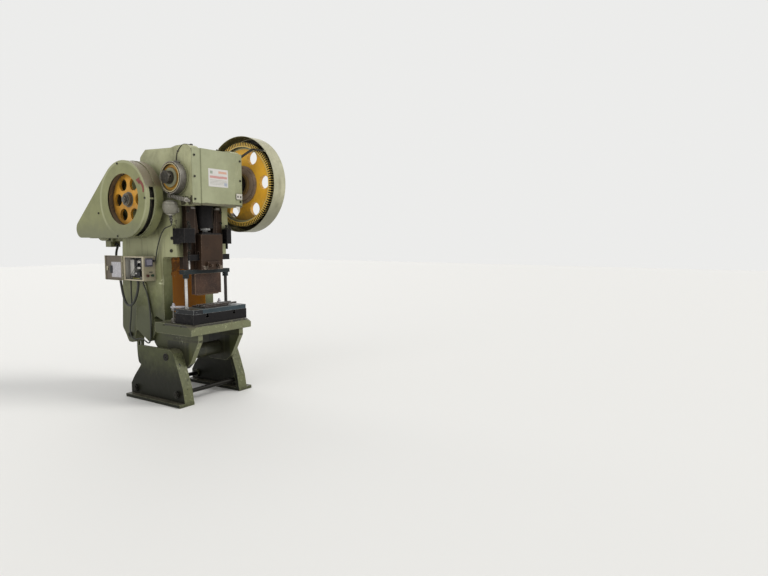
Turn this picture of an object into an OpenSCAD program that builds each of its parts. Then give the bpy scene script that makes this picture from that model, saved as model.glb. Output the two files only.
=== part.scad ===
// Open-back inclinable geared crank press with a small pillar die set.
// Millimetres. +Z up, the operator stands on the -Y side, x = 0 is the middle of the press.
// Side views are drawn as [y, z] outlines with y = 0 on the ram's centre line; place()
// then moves them so that the origin is the floor point amid the four anchor bolts.

/* [Frame] */
// Height of the crankshaft's axis above the floor
crank_z = 2187; // [2150:1:2220]
// Width of the frame over its two cheeks
frame_w = 622; // [600:1:640]
// Thickness of each cheek and column
cheek_t = 106; // [96:1:110]
// Reach of the head in front of the crankshaft's axis
head_reach = 207; // [200:1:215]
// Rise of the head above the crankshaft's axis
head_rise = 308; // [300:1:330]
// Drop of the head's underside below the crankshaft's axis
head_drop = 257; // [245:1:262]
// Depth of the head behind the crankshaft's axis
head_back = 565; // [555:1:580]
// Depth of the throat, from the ram's centre line to the columns
throat_depth = 261; // [255:1:275]
// Height of the throat's upper edge above the floor
throat_top_z = 1434; // [1420:1:1445]
// Depth of the columns, front to back
column_depth = 670; // [655:1:680]
// Setback of the guide pads behind the ram's centre line
guide_front_y = 46; // [44:1:52]

/* [Bed] */
// Height of the bed's top above the floor
bed_top_z = 791; // [785:1:800]
// Width of the bed
bed_w = 766; // [740:1:780]
// Thickness of the bed
bed_t = 104; // [90:1:112]
// Reach of the bed in front of the ram's centre line
bed_front = 227; // [220:1:240]
// Width of the slug hole in the bed
slug_hole_w = 240; // [200:1:260]
// Width over the skirt plates under the bed
skirt_w = 574; // [560:1:580]
// Thickness of each skirt plate
skirt_t = 50; // [40:1:60]

/* [Legs and tilting] */
// Width over the two legs
leg_w = 802; // [796:1:830]
// Thickness of each leg's side web
leg_web_t = 34; // [25:1:38]
// Width of the leg's front flange
leg_flange_w = 108; // [90:1:108]
// Height of the legs
leg_h = 535; // [525:1:545]
// Height of the tilting pivot above the floor
pivot_z = 458; // [450:1:465]
// Pivot's place behind the ram's centre line
pivot_y = 139; // [130:1:150]
// Diameter of the tilting pivot shaft
pivot_d = 76; // [60:1:84]
// Anchor bolt spacing across the press
anchor_pitch_x = 860; // [850:1:880]
// Anchor bolt spacing along the press
anchor_pitch_y = 700; // [660:1:710]
// Diameter of the anchor bolt holes
anchor_d = 26; // [20:1:30]
// Radius of the tilt quadrants' slots round the pivot
quadrant_r = 698; // [694:1:700]

/* [Gear train] */
// Module of the gear teeth
gear_module = 8; // [7.9:0.1:8.1]
// Teeth of the bull gear
gear_teeth = 109; // [108:1:110]
// Teeth of the pinion
pinion_teeth = 19; // [18:1:20]
// Face width of the bull gear
gear_face = 110; // [90:1:120]
// Distance of the bull gear's middle plane from the cheek
gear_dist = 241; // [237:1:245]
// Drop of the back shaft below the crankshaft
shaft_drop = 197; // [190:1:205]
// Diameter of the back shaft
shaft_d = 70; // [60:1:80]
// Outer radius of the flywheel
flywheel_r = 330; // [322:1:332]
// Width of the flywheel's rim
flywheel_w = 124; // [110:1:126]
// Outer radius of the motor pulley
pulley_r = 62; // [56:1:66]
// Distance of the motor's axis behind the ram's centre line
motor_y = 1197; // [1190:1:1204]
// Height of the motor's axis
motor_z = 1711; // [1705:1:1717]
// Number of V belts
belt_count = 4; // [3:1:5]

/* [Crank and ram] */
// Stroke of the ram
stroke = 100; // [80:1:104]
// Diameter of the crankshaft's main journals
journal_d = 120; // [110:1:130]
// Diameter of the crank pin
pin_d = 124; // [116:1:130]
// Width of the connecting rod
rod_w = 130; // [120:1:140]
// Outer radius of the connecting rod's big end
big_end_r = 118; // [112:1:122]
// Diameter of the adjusting screw
screw_d = 92; // [84:1:96]
// Diameter of the screw's ball
ball_d = 96; // [94:1:100]
// Height of the ball's centre with the ram up
ball_z = 1590; // [1585:1:1595]
// Height of the ram's underside with the ram up
ram_bottom_z = 1306; // [1300:1:1312]
// Height of the ram box's top with the ram up
ram_top_z = 1652; // [1648:1:1660]
// Width of the ram's front box
ram_w = 268; // [260:1:280]
// Reach of the ram's front box
ram_front = 100; // [95:1:106]

/* [Guards and cover] */
// Distance of the flywheel guard's face from the cheek
guard_dist = 269; // [265:1:279]
// Radius of the flywheel guard
guard_r = 370; // [365:1:380]
// Radius of the guard's round window
window_r = 245; // [235:1:255]
// Radius of the guard's tail end
tail_r = 89; // [85:1:95]
// Radius of the bull gear guard
ring_r = 505; // [495:1:515]
// Distance of the bull gear guard's inner edge from the cheek
ring_dist = 163; // [158:1:168]
// Width of the bull gear guard
ring_w = 168; // [160:1:175]
// Sheet thickness of the guards
sheet_t = 4; // [3:0.5:5]
// Height of the front cover
cover_h = 534; // [520:1:540]

/* [Control box] */
// Depth of the control box along the column
box_len = 325; // [310:1:340]
// Height of the control box
box_h = 242; // [230:1:250]
// Standing out of the control box from the column
box_out = 134; // [125:1:145]
// Height of the control box's underside
box_z = 1195; // [1190:1:1205]

/* [Die set] */
// Thickness of the bolster block
bolster_t = 98; // [90:1:105]
// Width of the bolster block
bolster_w = 680; // [660:1:700]
// Thickness of the die base
die_base_t = 44; // [40:1:50]
// Diameter of the guide pillars
pillar_d = 32; // [28:1:36]
// Spacing of the guide pillars
pillar_pitch = 500; // [490:1:510]
// Height of the punch block
punch_h = 205; // [190:1:215]

/* [Hidden] */
$fn = 64;

green = [0.58, 0.61, 0.47];
yellow = [0.86, 0.62, 0.12];
dark_brown = [0.20, 0.15, 0.14];
steel = [0.55, 0.55, 0.56];
dark_steel = [0.25, 0.25, 0.27];
cast_black = [0.13, 0.13, 0.16];
beige = [0.76, 0.74, 0.64];
bronze = [0.62, 0.48, 0.28];
rust = [0.36, 0.25, 0.20];
die_blue = [0.20, 0.29, 0.33];
rubber = [0.10, 0.11, 0.10];
white = [0.85, 0.85, 0.82];

// Gaps: a running bearing, a press seat, and two faces that slide or lie side by side
run_gap = 0.05;
seat_gap = 0.02;
face_gap = 0.3;

// Widths and side planes
frame_half = frame_w / 2;
inner_half = frame_half - cheek_t;
bed_half = bed_w / 2;
skirt_half = skirt_w / 2;
leg_half = leg_w / 2;
leg_in = leg_half - leg_web_t;
boss_out = 12;
boss_face = frame_half + boss_out;
gear_x = frame_half + gear_dist;
guard_face_x = frame_half + guard_dist;
ring_x = frame_half + ring_dist;

// Tilting quadrants and the lugs that they carry
quadrant_t = 22;
slot_half = 17;
tilt_max = 20;
lug_z = 610;
lug_angle = asin((lug_z - pivot_z) / quadrant_r);
lug_y = pivot_y + quadrant_r * cos(lug_angle);

// Side-view places
head_top_z = crank_z + head_rise;
head_bottom_z = crank_z - head_drop;
bed_bottom_z = bed_top_z - bed_t;
column_back = throat_depth + column_depth;
anchor_front_y = -60;
anchor_mid_y = anchor_front_y + anchor_pitch_y / 2;
bed_back = 316;
bridge_y = 142;

// Gear train
gear_r = gear_module * gear_teeth / 2;
pinion_r = gear_module * pinion_teeth / 2;
centre_dist = gear_r + pinion_r;
shaft_y = sqrt(centre_dist * centre_dist - shaft_drop * shaft_drop);
shaft_z = crank_z - shaft_drop;
mesh_angle = atan2(shaft_z - crank_z, shaft_y);
pressure_angle = 20;
tooth_play = 0.5;
gear_tip_r = gear_r + gear_module;
pinion_face = gear_face + 6;
flywheel_x = guard_face_x - 20;
flywheel_back_x = flywheel_x - flywheel_w;
guard_depth = 100;
guard_seam_x = guard_face_x - guard_depth;
tail_y = motor_y;
tail_z = motor_z;
belt_pitch = 25;
belt_w = 17;
belt_h = 13;

// Crank and ram
throw = stroke / 2;
journal_r = journal_d / 2;
pin_r = pin_d / 2;
pin_z = crank_z + throw;
rod_half = rod_w / 2;
bush_wall = 14;
web_r = 86;
web_t = 48;
web_x = rod_half + 4;
socket_r = 84;
socket_bottom_z = ball_z + 126;
collar_h = 19;
ball_r = ball_d / 2;
ball_play = 12.5;
screw_r = screw_d / 2;
neck_r = 30;
vee_in = 134;
vee_depth = 40;
vee_mid_y = 28;
ram_back = 120;
ram_guide_top_z = head_bottom_z - 12;
gib_x = 236;
gib_right_x = 204;
pad_out_x = 284;
pad_bottom_z = 1575;
gib_front = -16;
gib_bottom_z = ram_bottom_z + 6;
drum_r = 136;
drum_in_x = boss_face + 4;
drum_w = 72;
guard_back_x = drum_in_x + drum_w + 3;
lining_t = 8;
band_t = 6;
shaft_end_x = drum_in_x + drum_w + 58;
gear_hub_r = 96;
gear_hub_in = boss_face + 6;

// Ram tooling
plate_t = 40;
plate_half = 285;
plate_front = -30;
plate_back = 48;
punch_half = 165;
punch_t = 52;
punch_top_z = ram_bottom_z - plate_t;
bolster_top_z = bed_top_z + bolster_t;
die_top_z = bolster_top_z + die_base_t;
bolster_front = -207;
bolster_back = 60;
pillar_x = pillar_pitch / 2;
pillar_y = -2;

// Knock-out bar
bar_h = 56;
bar_t = 28;
bar_y = -54;
bar_half = 252;
bar_lift = 30;
bar_z = 1400;

// Control box
box_y = 380;
box_x = frame_half + box_out;
box_top_z = box_z + box_h;
wall_t = 3;
button_r = 13;
button_x = [frame_half + 41, frame_half + 94];
button_z = box_z + 52;
button_travel = 5;
gland_x = -frame_half - 74;
gland_y = [box_y + 96, box_y + 180, box_y + 300];
thin_gland = [-frame_half - 25, box_z + 197];

// Motor behind the columns
motor_r = 122;
motor_out_x = -frame_half - 55;
motor_in_x = motor_out_x + 306;
term_gland = [motor_out_x + 136, motor_z - 157];

// Air bowl on the cheek
bowl_x = -frame_half - 84;
bowl_y = 12;
bowl_z = crank_z - 287;
bowl_r = 71;
drain_lean = 12;
hinge_x = -box_x - 8;
hinge_y = box_y + box_len + 5;

// Cord routes, each point [x, y, z] with x from the left cheek, before the shift to the anchor bolts
function beside(route) = [for (p = route) p - [frame_half, 0, 0]];
lead_d = 24;
column_lead_d = 14;
thin_lead_d = 11;
motor_lead_route = beside([
    [-74, 560, box_z - 15], [-74, 560, box_z - 45], [-77, 572, 1080], [-80, 600, 1010], [-82, 645, 955],
    [-81, 705, 932], [-77, 765, 948], [-70, 812, 1000], [-63, 850, 1080], [-57, 880, 1170],
    [-47, 912, 1260], [-35, 950, 1340], [-25, 990, 1410], [-7, 1014, 1470], [19, 1036, 1512],
    [49, 1066, 1538], [69, 1094, 1549], [81, motor_y - 77, term_gland.y], [81, motor_y - 62, term_gland.y]
]);
column_lead_route = beside([
    [-74, 680, box_z - 15], [-74, 680, box_z - 45], [-68, 692, 1060], [-53, 712, 960], [-45, 738, 860],
    [-38, 762, 770], [-33, 784, 700], [-29, 790, 640], [-27, 770, 590], [-26, 725, 572],
    [-26, 665, 580], [-26, 605, 590], [-27, 560, 578], [-27, 520, 560], [-27, 485, 556],
    [-27, 462, 585], [-27, 452, 650], [-27, 446, 730], [-28, 446, 820], [-29, 452, 910],
    [-33, 462, 1000], [-45, 472, 1080], [-65, 476, box_z - 55], [-74, 476, box_z - 33], [-74, 476, box_z - 15]
]);
brake_lead_route = beside([
    [-25, 365, thin_gland.y], [-25, 352, thin_gland.y], [-26, 332, 1420], [-28, 316, 1468], [-33, 290, 1530],
    [-41, 252, 1590], [-51, 208, 1646], [-61, 158, 1690], [-71, 108, 1716], [-79, 62, 1724],
    [-83, 32, 1730], [-84, bowl_y - drain_lean, bowl_z - 156], [-84, bowl_y - drain_lean, bowl_z - 142]
]);
lead_sides = 8;

// Moves a part drawn round the ram's centre line to the row's own origin
module place() translate([0, -anchor_mid_y, 0]) children();

module both_sides() {
    children();
    mirror([1, 0, 0]) children();
}

// Extrudes a [y, z] outline from x0 to x1
module slab(x0, x1) translate([x0, 0, 0]) rotate([90, 0, 90]) linear_extrude(x1 - x0) children();

// Round bar along X from x0 to x1 at [y, z]
module x_rod(r, x0, x1, y = 0, z = 0, r2 = 0)
    translate([x0, y, z]) rotate([0, 90, 0]) cylinder(r1 = r, r2 = r2 == 0 ? r : r2, h = x1 - x0);

module y_rod(r, y0, y1, x = 0, z = 0)
    translate([x, y0, z]) rotate([-90, 0, 0]) cylinder(r = r, h = y1 - y0);

// Box from one corner to the other
module block(low, high) translate(low) cube(high - low);

// Hexagon bolt: head on z = 0 upwards, shank downwards
module hex_bolt(d, shank) {
    cylinder(r = d * 0.9, h = d * 0.65, $fn = 6);
    translate([0, 0, -shank]) cylinder(r = d / 2, h = shank + 0.01, $fn = 24);
}

function unit(v) = v / norm(v);

// One corner b of a path rounded to radius r
function corner(a, b, c, r, n) = r == 0 ? [b] :
    let (u = unit(a - b), w = unit(c - b), half = acos(u * w) / 2,
         m = b + unit(u + w) * r / sin(half), p = b + u * r / tan(half) - m,
         q = b + w * r / tan(half) - m, a0 = atan2(p.y, p.x),
         da = (atan2(q.y, q.x) - a0 + 540) % 360 - 180)
    [for (i = [0:n]) m + r * [cos(a0 + da * i / n), sin(a0 + da * i / n)]];

// Outline of [y, z, radius] corners with each corner rounded
function rounded(path, n = 6) = let (k = len(path)) [for (i = [0:k - 1])
    let (a = path[(i + k - 1) % k], b = path[i], c = path[(i + 1) % k])
    each corner([a.x, a.y], [b.x, b.y], [c.x, c.y], b.z, n)];

// Outline round two circles and their outer tangents
function belt_line(c1, r1, c2, r2, n = 48) =
    let (d = c2 - c1, phi = atan2(d.y, d.x), beta = acos((r1 - r2) / norm(d)), m = round(n / 3))
    concat([for (i = [0:n]) let (t = phi + beta + (360 - 2 * beta) * i / n) c1 + r1 * [cos(t), sin(t)]],
           [for (i = [0:m]) let (t = phi - beta + 2 * beta * i / m) c2 + r2 * [cos(t), sin(t)]]);

// Involute gear outline with its first tooth centred on the angle start
function inv(a) = tan(a) - a * PI / 180;
function tooth_half(r, pitch_r, teeth) =
    let (base = pitch_r * cos(pressure_angle), edge = max(r, base))
    90 / teeth - tooth_play / pitch_r * 90 / PI
    + (inv(pressure_angle) - inv(acos(min(1, base / edge)))) * 180 / PI;
function gear_outline(pitch_r, teeth, start) =
    let (m = 2 * pitch_r / teeth, root = pitch_r - 1.25 * m, tip = pitch_r + m,
         base = pitch_r * cos(pressure_angle), foot = max(root, base),
         radii = concat(root < base ? [root] : [], [foot, (foot + pitch_r) / 2, pitch_r, (pitch_r + tip) / 2, tip]),
         k = len(radii))
    [for (i = [0:teeth - 1]) let (a = start + 360 * i / teeth) each concat(
        [for (j = [0:k - 1]) let (t = a - tooth_half(radii[j], pitch_r, teeth)) radii[j] * [cos(t), sin(t)]],
        [for (j = [k - 1:-1:0]) let (t = a + tooth_half(radii[j], pitch_r, teeth)) radii[j] * [cos(t), sin(t)]])];

// Tube swept along a route with a ring of points round each route point
function ring_at(p, dir, r) =
    let (w = unit(dir), side = abs(w.z) > 0.9 ? [1, 0, 0] : [0, 0, 1],
         u = unit(cross(w, side)), v = cross(u, w))
    [for (i = [0:lead_sides - 1]) let (t = 360 * i / lead_sides) p + r * (cos(t) * u + sin(t) * v)];
module tube(route, d) {
    k = len(route);
    pts = [for (i = [0:k - 1]) each ring_at(route[i], route[min(i + 1, k - 1)] - route[max(i - 1, 0)], d / 2)];
    sides = [for (i = [0:k - 2], j = [0:lead_sides - 1]) let (a = i * lead_sides + j,
        b = i * lead_sides + (j + 1) % lead_sides) each [[a, a + lead_sides, b], [b, a + lead_sides, b + lead_sides]]];
    ends = [[for (j = [0:lead_sides - 1]) j], [for (j = [lead_sides - 1:-1:0]) (k - 1) * lead_sides + j]];
    polyhedron(points = pts, faces = concat(sides, ends), convexity = 8);
}

// Legs: a side web, a wide front flange that follows its edge, and a foot with anchor holes
leg_front = [[78, leg_h - 5], [30, leg_h - 32], [-37, 348], [-101, 170], [-130, 0]];
leg_flange_d = 44;
foot_t = 32;
foot_back = anchor_front_y + anchor_pitch_y + 70;
tie_places = [[-24, 110], [foot_back - 90, 92]];
tie_r = 22;

module leg() {
    web = concat([[600, leg_h, 30]], [[85, leg_h, 10]], [for (p = leg_front) [p.x, p.y, 0]],
                 [[foot_back, 0, 0], [foot_back, 130, 20], [650, 215, 60], [532, 346, 60]]);
    flange = concat(leg_front, [for (i = [len(leg_front) - 1:-1:0]) leg_front[i] + [leg_flange_d, 0]]);
    difference() {
        union() {
            slab(leg_in, leg_half) polygon(rounded(web));
            slab(leg_half - leg_flange_w, leg_half) polygon(flange);
            block([leg_half - leg_flange_w, leg_front[4].x, 0], [anchor_pitch_x / 2 + 36, foot_back, foot_t]);
            x_rod(pivot_d / 2 + 34, skirt_half + face_gap, leg_in + 1, pivot_y, pivot_z);
            for (p = tie_places) x_rod(tie_r + 20, leg_in - 26, leg_in + 1, p.x, p.y);
        }
        x_rod(pivot_d / 2 + seat_gap, skirt_half - 1, leg_half + 1, pivot_y, pivot_z);
        for (p = tie_places) x_rod(tie_r + seat_gap, leg_in - 40, leg_half + 1, p.x, p.y);
        for (y = [anchor_front_y, anchor_front_y + anchor_pitch_y])
            translate([anchor_pitch_x / 2, y, -1]) cylinder(r = anchor_d / 2, h = foot_t + 2);
    }
}

module right_leg() color(green) place() leg();
module left_leg() color(green) place() mirror([1, 0, 0]) leg();

module tie_bars() color(dark_steel) place() for (p = tie_places) {
    x_rod(tie_r, -leg_half - 34, leg_half + 34, p.x, p.y);
    both_sides() translate([leg_half, p.x, p.y]) rotate([0, 90, 0]) cylinder(r = 36, h = 24, $fn = 6);
}

module pivot_shaft() color(dark_steel) place() difference() {
    x_rod(pivot_d / 2, -leg_half - 6, leg_half + 6, pivot_y, pivot_z);
    both_sides() x_rod(8, leg_half - 10, leg_half + 7, pivot_y, pivot_z);
}

// Slotted quadrants stand on the rear tie bar and carry the frame's rear lugs
module quadrant_arc(r_in, r_out, a0, a1) translate([pivot_y, pivot_z]) {
    steps = 16;
    polygon(concat([for (i = [0:steps]) let (t = a0 + (a1 - a0) * i / steps) r_out * [cos(t), sin(t)]],
                   [for (i = [steps:-1:0]) let (t = a0 + (a1 - a0) * i / steps) r_in * [cos(t), sin(t)]]));
}

module tilt_quadrants() color(green) place() both_sides()
    slab(inner_half - face_gap - quadrant_t, inner_half - face_gap) difference() {
        union() {
            quadrant_arc(quadrant_r - 46, quadrant_r + 46, lug_angle - tilt_max - 4, lug_angle + 4);
            translate([pivot_y, pivot_z]) for (a = [lug_angle - tilt_max - 4, lug_angle + 4])
                translate(quadrant_r * [cos(a), sin(a)]) circle(r = 46);
            polygon([[780, 340], [872, 340], [tie_places[1].x + 44, tie_places[1].y],
                     [tie_places[1].x - 44, tie_places[1].y]]);
            translate(tie_places[1]) circle(r = 44);
        }
        translate(tie_places[1]) circle(r = tie_r + seat_gap);
        quadrant_arc(quadrant_r - slot_half, quadrant_r + slot_half, lug_angle - tilt_max, lug_angle);
        translate([pivot_y, pivot_z]) for (a = [lug_angle - tilt_max, lug_angle])
            translate(quadrant_r * [cos(a), sin(a)]) circle(r = slot_half);
    }

// Frame casting
lug_r = 80;
lock_r = 15;
column_foot_z = 561;
rib_out = 12;
bevel = [105, 85, 46];
deck_t = 40;
cheek_path = [
    [-head_reach, head_bottom_z, 12], [-head_reach, head_top_z, 92], [10, head_top_z, 20],
    [90, head_top_z - 15, 60], [head_back - 86, head_top_z - 4, 30], [head_back, head_top_z - 75, 40],
    [head_back, shaft_z + 120, 60], [column_back - 42, shaft_z - 210, 90], [column_back - 20, throat_top_z + 140, 60],
    [column_back + 30, bed_top_z - 110, 60], [lug_y + lug_r + 6, lug_z, 40], [lug_y + 40, lug_z - lug_r, 36],
    [lug_y - 50, lug_z - lug_r, 40], [lug_y - 100, bed_bottom_z + 8, 40], [482, column_foot_z, 24],
    [430, bed_bottom_z - 40, 20], [430, bed_top_z + 60, 40], [throat_depth, bed_top_z, 0],
    [throat_depth, throat_top_z, 34], [guide_front_y, throat_top_z, 8], [guide_front_y, head_bottom_z, 3]
];
skirt_path = [
    [-206, bed_bottom_z + 1, 0], [-206, 622, 16], [-82, 398, 30], [0, 330, 60], [260, 330, 80],
    [470, column_foot_z, 30], [470, bed_bottom_z + 1, 0]
];
rib_top_z = box_z - 25;
rib_path = [[530, rib_top_z, 30], [442, 826, 120], [470, 575, 20], [500, 562, 16], [716, 690, 40],
    [690, rib_top_z - 160, 60], [640, rib_top_z, 30]];

gib_screw_x = [17 - gib_x, gib_right_x - 14];
module at_gib_screws() for (x = gib_screw_x, z = [throat_top_z + 42, ram_top_z + 118, head_bottom_z - 50])
    translate([x, gib_front, z]) rotate([90, 0, 0]) children();

module at_cheek_bolts() for (p = [[104, 1617], [119, 1495]])
    both_sides() translate([frame_half, p.x, p.y]) rotate([0, 90, 0]) children();

module at_cover_screws() for (dz = [cover_h - 70, cover_h / 2, 56])
    both_sides() translate([inner_half + 80, -head_reach - sheet_t, head_bottom_z + dz]) rotate([90, 0, 0]) children();

module at_bolster_bolts() for (x = [-bolster_w / 2 + 60, bolster_w / 2 - 60])
    translate([x, bolster_back - 34, bolster_top_z]) children();

// Each front corner of the bed is cut by a plane through one point on each of its three edges
function past_bevel(p) = let (c = [-bevel.x, bevel.y, -bevel.z] / 3) c + 1.5 * (p - c);
module bed_bevels() both_sides() translate([bed_half, -bed_front, bed_top_z]) hull() polyhedron(
    [[60, -60, 60], past_bevel([-bevel.x, 0, 0]), past_bevel([0, bevel.y, 0]), past_bevel([0, 0, -bevel.z])],
    [[1, 2, 3], [0, 2, 1], [0, 3, 2], [0, 1, 3]]);

module frame_casting() color(green) place() difference() {
    union() {
        both_sides() slab(inner_half, frame_half) polygon(rounded(cheek_path));
        both_sides() slab(skirt_half - skirt_t, skirt_half) polygon(rounded(skirt_path));
        slab(-bed_half, bed_half) polygon(rounded([[-bed_front, bed_bottom_z, 10], [-bed_front, bed_top_z, 6],
            [bed_back, bed_top_z, 8], [bed_back, bed_bottom_z, 30]]));
        block([-inner_half - 1, bridge_y, throat_top_z], [inner_half + 1, throat_depth, head_bottom_z]);
        block([gib_right_x + 2, gib_front - 2, pad_bottom_z], [pad_out_x, guide_front_y + 1, head_bottom_z]);
        block([-inner_half - 1, throat_depth - 60, head_bottom_z - 60], [inner_half + 1, throat_depth, head_top_z - 60]);
        block([-inner_half - 1, throat_depth - 60, head_top_z - 60], [inner_half + 1, head_back - 70, head_top_z - 60 + deck_t]);
        block([-inner_half - 1, 560, column_foot_z + 40], [inner_half + 1, 600, bed_top_z]);
        block([-inner_half - 1, bed_back - 20, bed_bottom_z], [inner_half + 1, 600, bed_top_z]);
        x_rod(pivot_d / 2 + 36, -skirt_half, skirt_half, pivot_y, pivot_z);
        both_sides() x_rod(journal_r + 100, frame_half - 1, boss_face, 0, crank_z);
        both_sides() x_rod(shaft_d / 2 + 34, frame_half - 1, boss_face, shaft_y, shaft_z);
        both_sides() slab(frame_half - 1, frame_half + rib_out) polygon(rounded(rib_path));
    }
    x_rod(journal_r + bush_wall, -boss_face - 1, boss_face + 1, 0, crank_z);
    x_rod(shaft_d / 2 + bush_wall, -boss_face - 1, boss_face + 1, shaft_y, shaft_z);
    x_rod(pivot_d / 2 + run_gap, -skirt_half - 1, skirt_half + 1, pivot_y, pivot_z);
    both_sides() x_rod(lock_r + face_gap, inner_half - 1, frame_half + 1, lug_y, lug_z);
    block([-slug_hole_w / 2, -70, bed_bottom_z - 1], [slug_hole_w / 2, 90, bed_top_z + 1]);
    bed_bevels();
    for (y = [-76, 179]) both_sides() x_rod(9, bed_half - 40, bed_half + 1, y, bed_top_z - 20);
    at_gib_screws() translate([0, 0, -196]) cylinder(r = 8 + face_gap, h = 160);
    at_cheek_bolts() translate([0, 0, -50]) cylinder(r = 9 + face_gap, h = 60);
    at_cover_screws() translate([0, 0, -40]) cylinder(r = 6 + face_gap, h = 60);
    at_bolster_bolts() translate([0, 0, -bolster_t - 60]) cylinder(r = 9 + face_gap, h = 61);
}

module tilt_lock_bolts() color(dark_steel) place() both_sides() {
    x_rod(lock_r, inner_half - quadrant_t - 34, frame_half + 1, lug_y, lug_z);
    translate([frame_half, lug_y, lug_z]) rotate([0, 90, 0]) cylinder(r = 27, h = 18, $fn = 6);
    translate([inner_half - quadrant_t - 26, lug_y, lug_z]) rotate([0, 90, 0])
        cylinder(r = 27, h = 26 - 2 * face_gap, $fn = 6);
}

// Bolster block with a slug hole and two T-slots from front to back
module bolster() color(cast_black) place() difference() {
    block([-bolster_w / 2, bolster_front, bed_top_z], [bolster_w / 2, bolster_back, bolster_top_z]);
    block([-70, -110, bed_top_z - 1], [70, 10, bolster_top_z + 1]);
    at_bolster_bolts() translate([0, 0, -bolster_t - 1]) cylinder(r = 9 + face_gap, h = bolster_t + 2);
    both_sides() translate([bolster_w / 4, 0, bolster_top_z]) {
        block([-11, bolster_front - 1, -40], [11, bolster_back + 1, 1]);
        block([-20, bolster_front - 1, -40], [20, bolster_back + 1, -22]);
    }
}

// Gibs with a vee for the ram, the left one with a flange over the cheek
module gib_outline(out) polygon([
    [out, gib_front], [out, guide_front_y - seat_gap], [inner_half - seat_gap, guide_front_y - seat_gap],
    [inner_half - seat_gap, bridge_y], [vee_in + run_gap, bridge_y], [vee_in + run_gap, vee_mid_y + vee_depth],
    [vee_in + vee_depth + run_gap, vee_mid_y], [vee_in + run_gap, vee_mid_y - vee_depth], [vee_in + run_gap, gib_front]
]);
module gibs() color(dark_brown) place() difference() {
    translate([0, 0, gib_bottom_z]) linear_extrude(head_bottom_z - 4 - gib_bottom_z) {
        mirror([1, 0]) gib_outline(gib_x);
        gib_outline(gib_right_x);
    }
    at_gib_screws() translate([0, 0, -160]) cylinder(r = 8 + face_gap, h = 162);
}

// Knock-out brackets in front of the gibs, with their stop screws
bracket_z0 = 1560;
bracket_z1 = 1712;
bracket_front = -92;
bracket_back = gib_front - 2 - seat_gap;
screw_x = 232;
module knockout_brackets() color(cast_black) place() difference() {
    union() {
        block([-frame_half - 15, bracket_front, bracket_z0 + 14], [-200, bracket_back, bracket_z1]);
        block([-frame_half - 15, bracket_back - 1, bracket_z0], [-frame_half - face_gap, guide_front_y + 30, bracket_z1]);
        block([gib_right_x, bracket_front, bracket_z0], [gib_right_x + 58, bracket_back, bracket_z1]);
    }
    for (x = [-screw_x, screw_x]) translate([x, bar_y, bracket_z0 - 1]) cylinder(r = 12 + seat_gap, h = bracket_z1 - bracket_z0 + 2);
}

module knockout_screws() color(dark_steel) place() both_sides() translate([screw_x, bar_y, 0]) {
    translate([0, 0, bar_z + bar_h + bar_lift + 20]) cylinder(r = 12, h = 230);
    translate([0, 0, bracket_z1 + seat_gap]) cylinder(r = 21, h = 15, $fn = 6);
    translate([0, 0, bar_z + bar_h + bar_lift + 250]) cylinder(r = 14, h = 16, $fn = 6);
}

// Sheet front cover: two bolting flanges and a raised face
cover_out = 14;
cover_in_half = inner_half + 9;
cover_out_half = inner_half + 5;
module front_cover() color(green) place() translate([0, 0, head_bottom_z]) difference() {
    linear_extrude(cover_h) polygon([
        [-frame_half, -head_reach], [-frame_half, -head_reach - sheet_t], [-cover_in_half, -head_reach - sheet_t],
        [-cover_out_half, -head_reach - cover_out], [cover_out_half, -head_reach - cover_out],
        [cover_in_half, -head_reach - sheet_t], [frame_half, -head_reach - sheet_t], [frame_half, -head_reach],
        [cover_in_half - 4, -head_reach], [cover_out_half - 2, -head_reach - cover_out + sheet_t],
        [-cover_out_half + 2, -head_reach - cover_out + sheet_t], [-cover_in_half + 4, -head_reach]]);
    translate([0, 0, -head_bottom_z]) at_cover_screws() translate([0, 0, -40]) cylinder(r = 6 + face_gap, h = 60);
}

module at_guard_screws() for (p = guard_posts)
    translate([-guard_face_x, p.x, p.y]) rotate([0, -90, 0]) children();

module frame_screws() color(dark_steel) place() {
    for (x = gib_screw_x) let (deep = x < 0 ? 96 : 190)
        for (z = [throat_top_z + 42, ram_top_z + 118, head_bottom_z - 50])
            translate([x, gib_front, z]) rotate([90, 0, 0]) hex_bolt(16, deep);
    at_cheek_bolts() hex_bolt(18, 40);
    at_cover_screws() hex_bolt(12, 30);
    at_bolster_bolts() hex_bolt(18, bolster_t + 40);
    at_guard_screws() hex_bolt(11, 34);
}

module crank_bushes() color(bronze) place() both_sides() difference() {
    x_rod(journal_r + bush_wall - seat_gap, inner_half, boss_face, 0, crank_z);
    x_rod(journal_r + run_gap, inner_half - 1, boss_face + 1, 0, crank_z);
}

module shaft_bushes() color(bronze) place() both_sides() difference() {
    x_rod(shaft_d / 2 + bush_wall - seat_gap, inner_half, boss_face, shaft_y, shaft_z);
    x_rod(shaft_d / 2 + run_gap, inner_half - 1, boss_face + 1, shaft_y, shaft_z);
}

// Band brake round the drum at the crankshaft's left end, split at the bottom
split_half = 8;
lining_r = drum_r + face_gap;
band_r = lining_r + lining_t;
lug_drop = 46;
lug_t = 9;
brake_bolt_z = -band_r - lug_drop / 2 - 4;
brake_tilt = 12;
spring_r = 17;
spring_front = -222;
spring_turns = 9;
module wrap(r_in, r_out, half) translate([0, crank_z]) rotate(brake_tilt) difference() {
    circle(r = r_out);
    circle(r = r_in);
    translate([-half, -r_out - 1]) square([2 * half, r_out]);
}
module at_brake() translate([-drum_in_x - drum_w / 2, 0, crank_z]) rotate([brake_tilt, 0, 0]) children();

module brake_lining() color(beige) place()
    slab(-drum_in_x - drum_w + 5, -drum_in_x - 5) wrap(lining_r, band_r - seat_gap, split_half + 4);

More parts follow.
